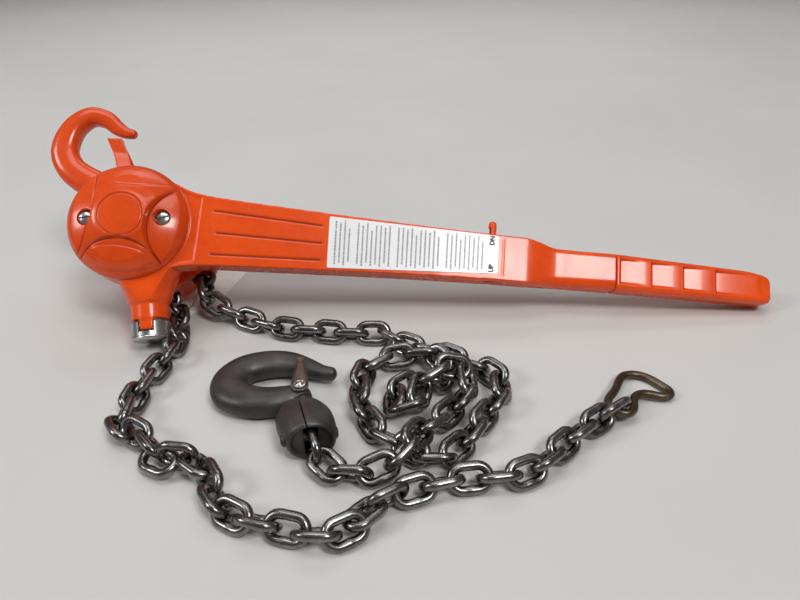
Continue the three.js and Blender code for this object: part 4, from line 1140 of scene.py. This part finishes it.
E = (-39.6, 39.6)
UPPER = [[E[0] + 3, E[1] - 2, 11], [-46, 43.5, 12.6], [-56, 47.6, 13.4], [-66, 51.5, 13.5], [-79, 60.5, 12.8], [-87, 74.5, 12.2], [-86, 91, 11.2], [-79.5, 104.5, 9.8],
         [-68, 113.3, 8.8], [-54.5, 111.8, 8.2], [-43.5, 104.4, 7.0], [-34, 100.6, 5.2], [-24.6, 100.3, 3.9]]
hook = hook_body(UPPER, MID_Z, 9.6, 4.6)
join_all(hook, disc(12, MID_Z - 10, MID_Z + 10, *E, n=64), capsule((E[0] + 2, E[1] + 6), (-29.5, 57), 8, 6.5, MID_Z - 5.2, MID_Z + 5.2))
cut_all(hook, disc(5.65, -90, -10, *E, n=40), disc(2.4, -90, -10, -29.5, 57, 28))
remesh(hook, 0.8, 9)
# the upper hook wears the darker copy of the orange paint, as painted shade
place(hook, "hook_upper", "upper_hook", SHADED_ORANGE, "upper_hook", TOOL)

NECK, ND, NX = np.array([-70.4, 349.0]), np.array([0.203, -0.979]), np.array([0.979, 0.203])
SWIVEL_Z = 11.5
NECK_M = Matrix(((NX[0], 0, ND[0], NECK[0]), (NX[1], 0, ND[1], NECK[1]), (0, -1, 0, SWIVEL_Z), (0, 0, 0, 1)))
LOWER = [[-71.5, 357.2, 7.0], [-75.2, 362.9, 8.8], [-84, 361.1, 10.4], [-99, 358.6, 12.2], [-114, 360.6, 13.4], [-127.8, 369.6, 14.2], [-130.6, 383, 13.6], [-122, 396.8, 12.6],
         [-104, 403.4, 11.8], [-88, 403.2, 10.9], [-73.5, 398, 8.6], [-61, 392, 6.1], [-49.6, 389.4, 4.4]]
low = hook_body(LOWER, 10.0, 9.8, 5.4, 2.3)
shank = move(lathe([(0, -10), (6.0, -10), (5.1, -6.5), (4.9, -2), (4.9, 15.6), (7.3, 15.7), (7.3, 22.6), (7.0, 23), (0, 23)], 56), NECK_M)
join_all(low, shank)
cut_all(low, disc(2.4, -5, 40, -74.2, 363.8, 28))
remesh(low, 0.7, 7)
place(low, "hook_lower", "lower_hook", FORGED, "lower_hook", BENCH)

# ---- latches ------------------------------------------------------------------------------------
latch = cad_copy("upper_latch", TOOL)
remesh(latch, 0.55, 4)
p = coords(latch)
k = 1 - 0.60 * step(p[:, 1], 62, 80)
p[:, 2] = MID_Z + (p[:, 2] - MID_Z) * k + 3.0 * (1 - k)
p[:, 0] += 2.2 * step(p[:, 1], 57, 64) * (1 - step(p[:, 1], 72, 92))
set_coords(latch, p)
# the upper latch wears the darker copy of the orange paint, as painted shade
place(latch, "latch_upper", "upper_latch", SHADED_ORANGE, "upper_latch", TOOL)
pin = move(lathe([(0, -10), (2.6, -10), (2.6, -9.3), (2.1, -9.3), (2.1, 9.3), (2.6, 9.3), (2.6, 10), (0, 10)], 32), Matrix.Translation((-29.5, 57, MID_Z)))
shade_by_angle(pin)
place(pin, "latch_pin", "upper_hook", ZINC, "upper_latch_pin", TOOL)

flat_latch = capsule((-74.2, 363.8), (-77.2, 393.4), 6.4, 3.2, 20.2, 22.0)
lip = cut_all(capsule((-74.2, 363.8), (-77.2, 393.4), 6.4, 3.2, 20.2, 23.0), capsule((-74.2, 363.8), (-77.0, 391.6), 5.5, 2.2, 20, 24))
cut_all(lip, disc(6.4, 20, 25, -74.2, 360.0, n=32))
join_all(flat_latch, lip)
cut_all(flat_latch, disc(2.5, -5, 40, -74.2, 363.8, 28))
remesh(flat_latch, 0.32, 3)
place(flat_latch, "latch_lower", "lower_latch", LATCH, "lower_latch", BENCH)
rivet = move(lathe([(0, 10), (2.1, 10), (2.1, 22.3), (4.6, 22.3), (4.7, 22.7), (4.4, 23.3), (3.4, 23.5), (3.0, 23.2), (2.7, 23.6), (1.5, 24.4), (0, 24.6)], 40), Matrix.Translation((-74.2, 363.8, 0)))
shade_by_angle(rivet, 40)
place(rivet, "latch_rivet", "lower_hook", ZINC, "lower_latch_rivet", BENCH)

# ---- hook block ---------------------------------------------------------------------------------
BLOCK = NECK_M  # x across the block, y down, z along it, from the swivel axis


def loft(stations, matrix=None, m=88, squareness=2.15):
    """A closed body from oval sections [z, half width, half height, x, y]."""
    v, f = [], []
    for z_4, a, b, x_4, y_4 in stations:
        for k in range(m):
            t = 2 * math.pi * k / m
            ca, sa = math.cos(t), math.sin(t)
            v.append((x_4 + a * math.copysign(abs(ca) ** (2 / squareness), ca), y_4 + b * math.copysign(abs(sa) ** (2 / squareness), sa), z_4))
    for i in range(len(stations) - 1):
        for k in range(m):
            f.append((i * m + k, i * m + (k + 1) % m, (i + 1) * m + (k + 1) % m, (i + 1) * m + k))
    f.append(tuple(range(m - 1, -1, -1)))
    f.append(tuple((len(stations) - 1) * m + k for k in range(m)))
    return outward(obj_from("tmp", v, f, matrix, False))


# [along, half width, half height, across, height of the middle above the bench]
BELL = [[-3.3, 6.9, 6.6, -1.2, 12.6], [-2.8, 7.9, 7.4, -1.2, 12.7], [-0.8, 11.4, 9.4, -1.6, 13.2], [3, 14.8, 11.6, -1.8, 13.8], [8, 17.6, 13.4, -1.6, 14.5],
        [14, 19.4, 14.8, -1.0, 15.4], [22, 20.0, 15.8, -0.2, 16.2], [29, 19.3, 16.3, 0.8, 16.6], [34, 18.0, 16.4, 1.5, 16.8], [37.2, 17.1, 16.4, 1.9, 16.8],
        [39.0, 16.4, 15.9, 2.1, 16.8], [40.0, 15.3, 14.9, 2.2, 16.8]]
rows = spline(BELL, 40)
body = loft([(z_4, a, b, x_4, SWIVEL_Z - h) for z_4, a, b, x_4, h in rows])
mouth = loft([(37.6, 12.0, 11.8, 2.0, SWIVEL_Z - 16.8), (38.4, 12.9, 12.6, 2.0, SWIVEL_Z - 16.8), (39.4, 13.6, 13.2, 2.1, SWIVEL_Z - 16.8),
              (41, 14.6, 14.2, 2.2, SWIVEL_Z - 16.8)], squareness=2.0)
slot = block(-2.5, 7.1, -16.5, 6.4, 18, 50)
cut_all(body, disc(6.0, -8, 16, n=48), disc(8.1, 14.9, 24, n=48), mouth, slot)
bolt_hole = move(disc(3.3, -30, 30, n=32), Matrix.Translation((0, -4.5, 33.0)) @ rot(90, "Y"))
cut_all(body, bolt_hole)
SEAM = Matrix.Translation((-2.4, -5, 0)) @ rot(6, "Y") @ rot(-6, "Z")
for name, node, a, b in (("block_left", "block_half_left", -45, -0.3), ("block_right", "block_half_right", 0.3, 45)):
    half = bpy.data.objects.new("tmp", body.data.copy())
    bpy.context.scene.collection.objects.link(half)
    boolean(half, move(block(a, b, -45, 45, -12, 60), SEAM), "INTERSECT")
    remesh(half, 0.5, 3)
    place(half, name, "frame", FORGED, node, BENCH @ BLOCK)
remove(body)
bolt = move(lathe([(0, -18.4), (2.6, -18.2), (3.9, -17.5), (4.4, -16.4), (4.4, -15.6), (3.0, -15.2), (3.0, 17.6), (4.4, 18.0), (4.4, 18.9), (3.9, 20.0), (2.6, 20.7), (0, 20.9)], 40),
            Matrix.Translation((0, -4.5, 33.0)) @ rot(90, "Y"))
shade_by_angle(bolt, 40)
place(bolt, "block_rivet", "frame", FORGED, "block_bolt", BENCH @ BLOCK)

# ---- rear brake cover ---------------------------------------------------------------------------
bc = lathe([(0, -94), (30, -94), (38.5, -94), (41, -93.4), (42.5, -92), (43, -90), (43, -70), (40.4, -70), (40.4, -88), (39.4, -91.4), (0, -91.4)], 128)
bosses = [(36.2 * math.cos(rad(a)), 36.2 * math.sin(rad(a))) for a in (60, 180, 300)]
join_all(bc, *[disc(4.6, -93, -70, x_, y_, 32) for x_, y_ in bosses])
ringed = cut_all(disc(27, -93.5, -90.5, n=96), disc(25.6, -95, -90, n=96))
cut_all(bc, *[disc(2.3, -95, -60, x_, y_, 24) for x_, y_ in bosses])
remove(ringed)
bevel = bc.modifiers.new("v", "BEVEL")
bevel.width, bevel.segments, bevel.limit_method, bevel.angle_limit = 0.5 * MM, 2, "ANGLE", rad(40)
apply_modifiers(bc)
shade_by_angle(bc, 40)
place(bc, "rear_cover", "frame", ORANGE, "brake_cover", FRAME)
for i, (x_, y_) in enumerate(bosses):
    s_1 = lathe([(0, -96.2), (2.2, -96.1), (3.4, -95.6), (3.9, -94.8), (3.9, -94.2), (2.0, -94.2), (2.0, -71), (0, -71)], 40)
    boolean(s_1, block(-6, 6, -0.5, 0.5, -98, -95.2), "DIFFERENCE")
    move(s_1, Matrix.Translation((x_, y_, 0)) @ rot(35 + 50 * i, "Z"))
    shade_by_angle(s_1, 35)
    place(s_1, "rear_screw_%d" % (i + 1), "frame", ZINC, "brake_cover_screw_%d" % (i + 1), FRAME)

# ---- frame plates and chain guide, edges rounded --------------------------------------------------
for node, name, vox in (("frame_front_plate", "plate_front", 0.6), ("frame_rear_plate", "plate_rear", 0.6), ("chain_guide", "guide", 0.6)):
    o = cad_copy(node, FRAME)
    bevel = o.modifiers.new("v", "BEVEL")
    bevel.width, bevel.segments, bevel.limit_method, bevel.angle_limit = 0.55 * MM, 2, "ANGLE", rad(40)
    apply_modifiers(o)
    shade_by_angle(o, 35)
    place(o, name, "frame", ORANGE, node, FRAME)

# ---- hang tag and wire ----------------------------------------------------------------------------
TAG = [(-212, 507), (-197, 488.5), (-180.3, 501.5), (-167.5, 524), (-153, 575), (-186, 588), (-203, 548)]
tag = prism(corner_round(TAG, 2.5), 0.02, 0.34)
boolean(tag, disc(2.2, -1, 1, -196, 500, 28), "DIFFERENCE")
place(tag, "tag", "frame", PAPER, "hang_tag", BENCH)

for name in NODES:
    o = NODES[name]
    slot_name = None
    if o.data.materials and o.data.materials[0]:
        slot_name = o.data.materials[0].name.split(".")[0]
    mt = MATERIAL_OF_SLOT.get(slot_name)
    if mt is None:
        look = {"drive_": STEEL, "shaft_nut": ZINC, "lift_wheel": FORGED, "brake_hub": STEEL, "friction": LINING, "ratchet": STEEL, "brake_nut": STEEL,
                "holding_pawl_spring": SPRING, "holding_pawl": STEEL, "selector_rod": STEEL, "pawl_pin": STEEL, "lever_bush": BRONZE, "frame_bush": BRONZE,
                "lock_plunger": STEEL, "plunger_spring": SPRING, "plunger_retainer": ZINC, "hook_pin": ZINC, "tag_wire": STEEL}
        for k, v in look.items():
            if name.startswith(k):
                mt = v
                break
    mt = mt or ORANGE
    o.data.materials.clear()
    o.data.materials.append(mt)
    for poly in o.data.polygons:
        poly.material_index = 0

bpy.context.view_layer.update()
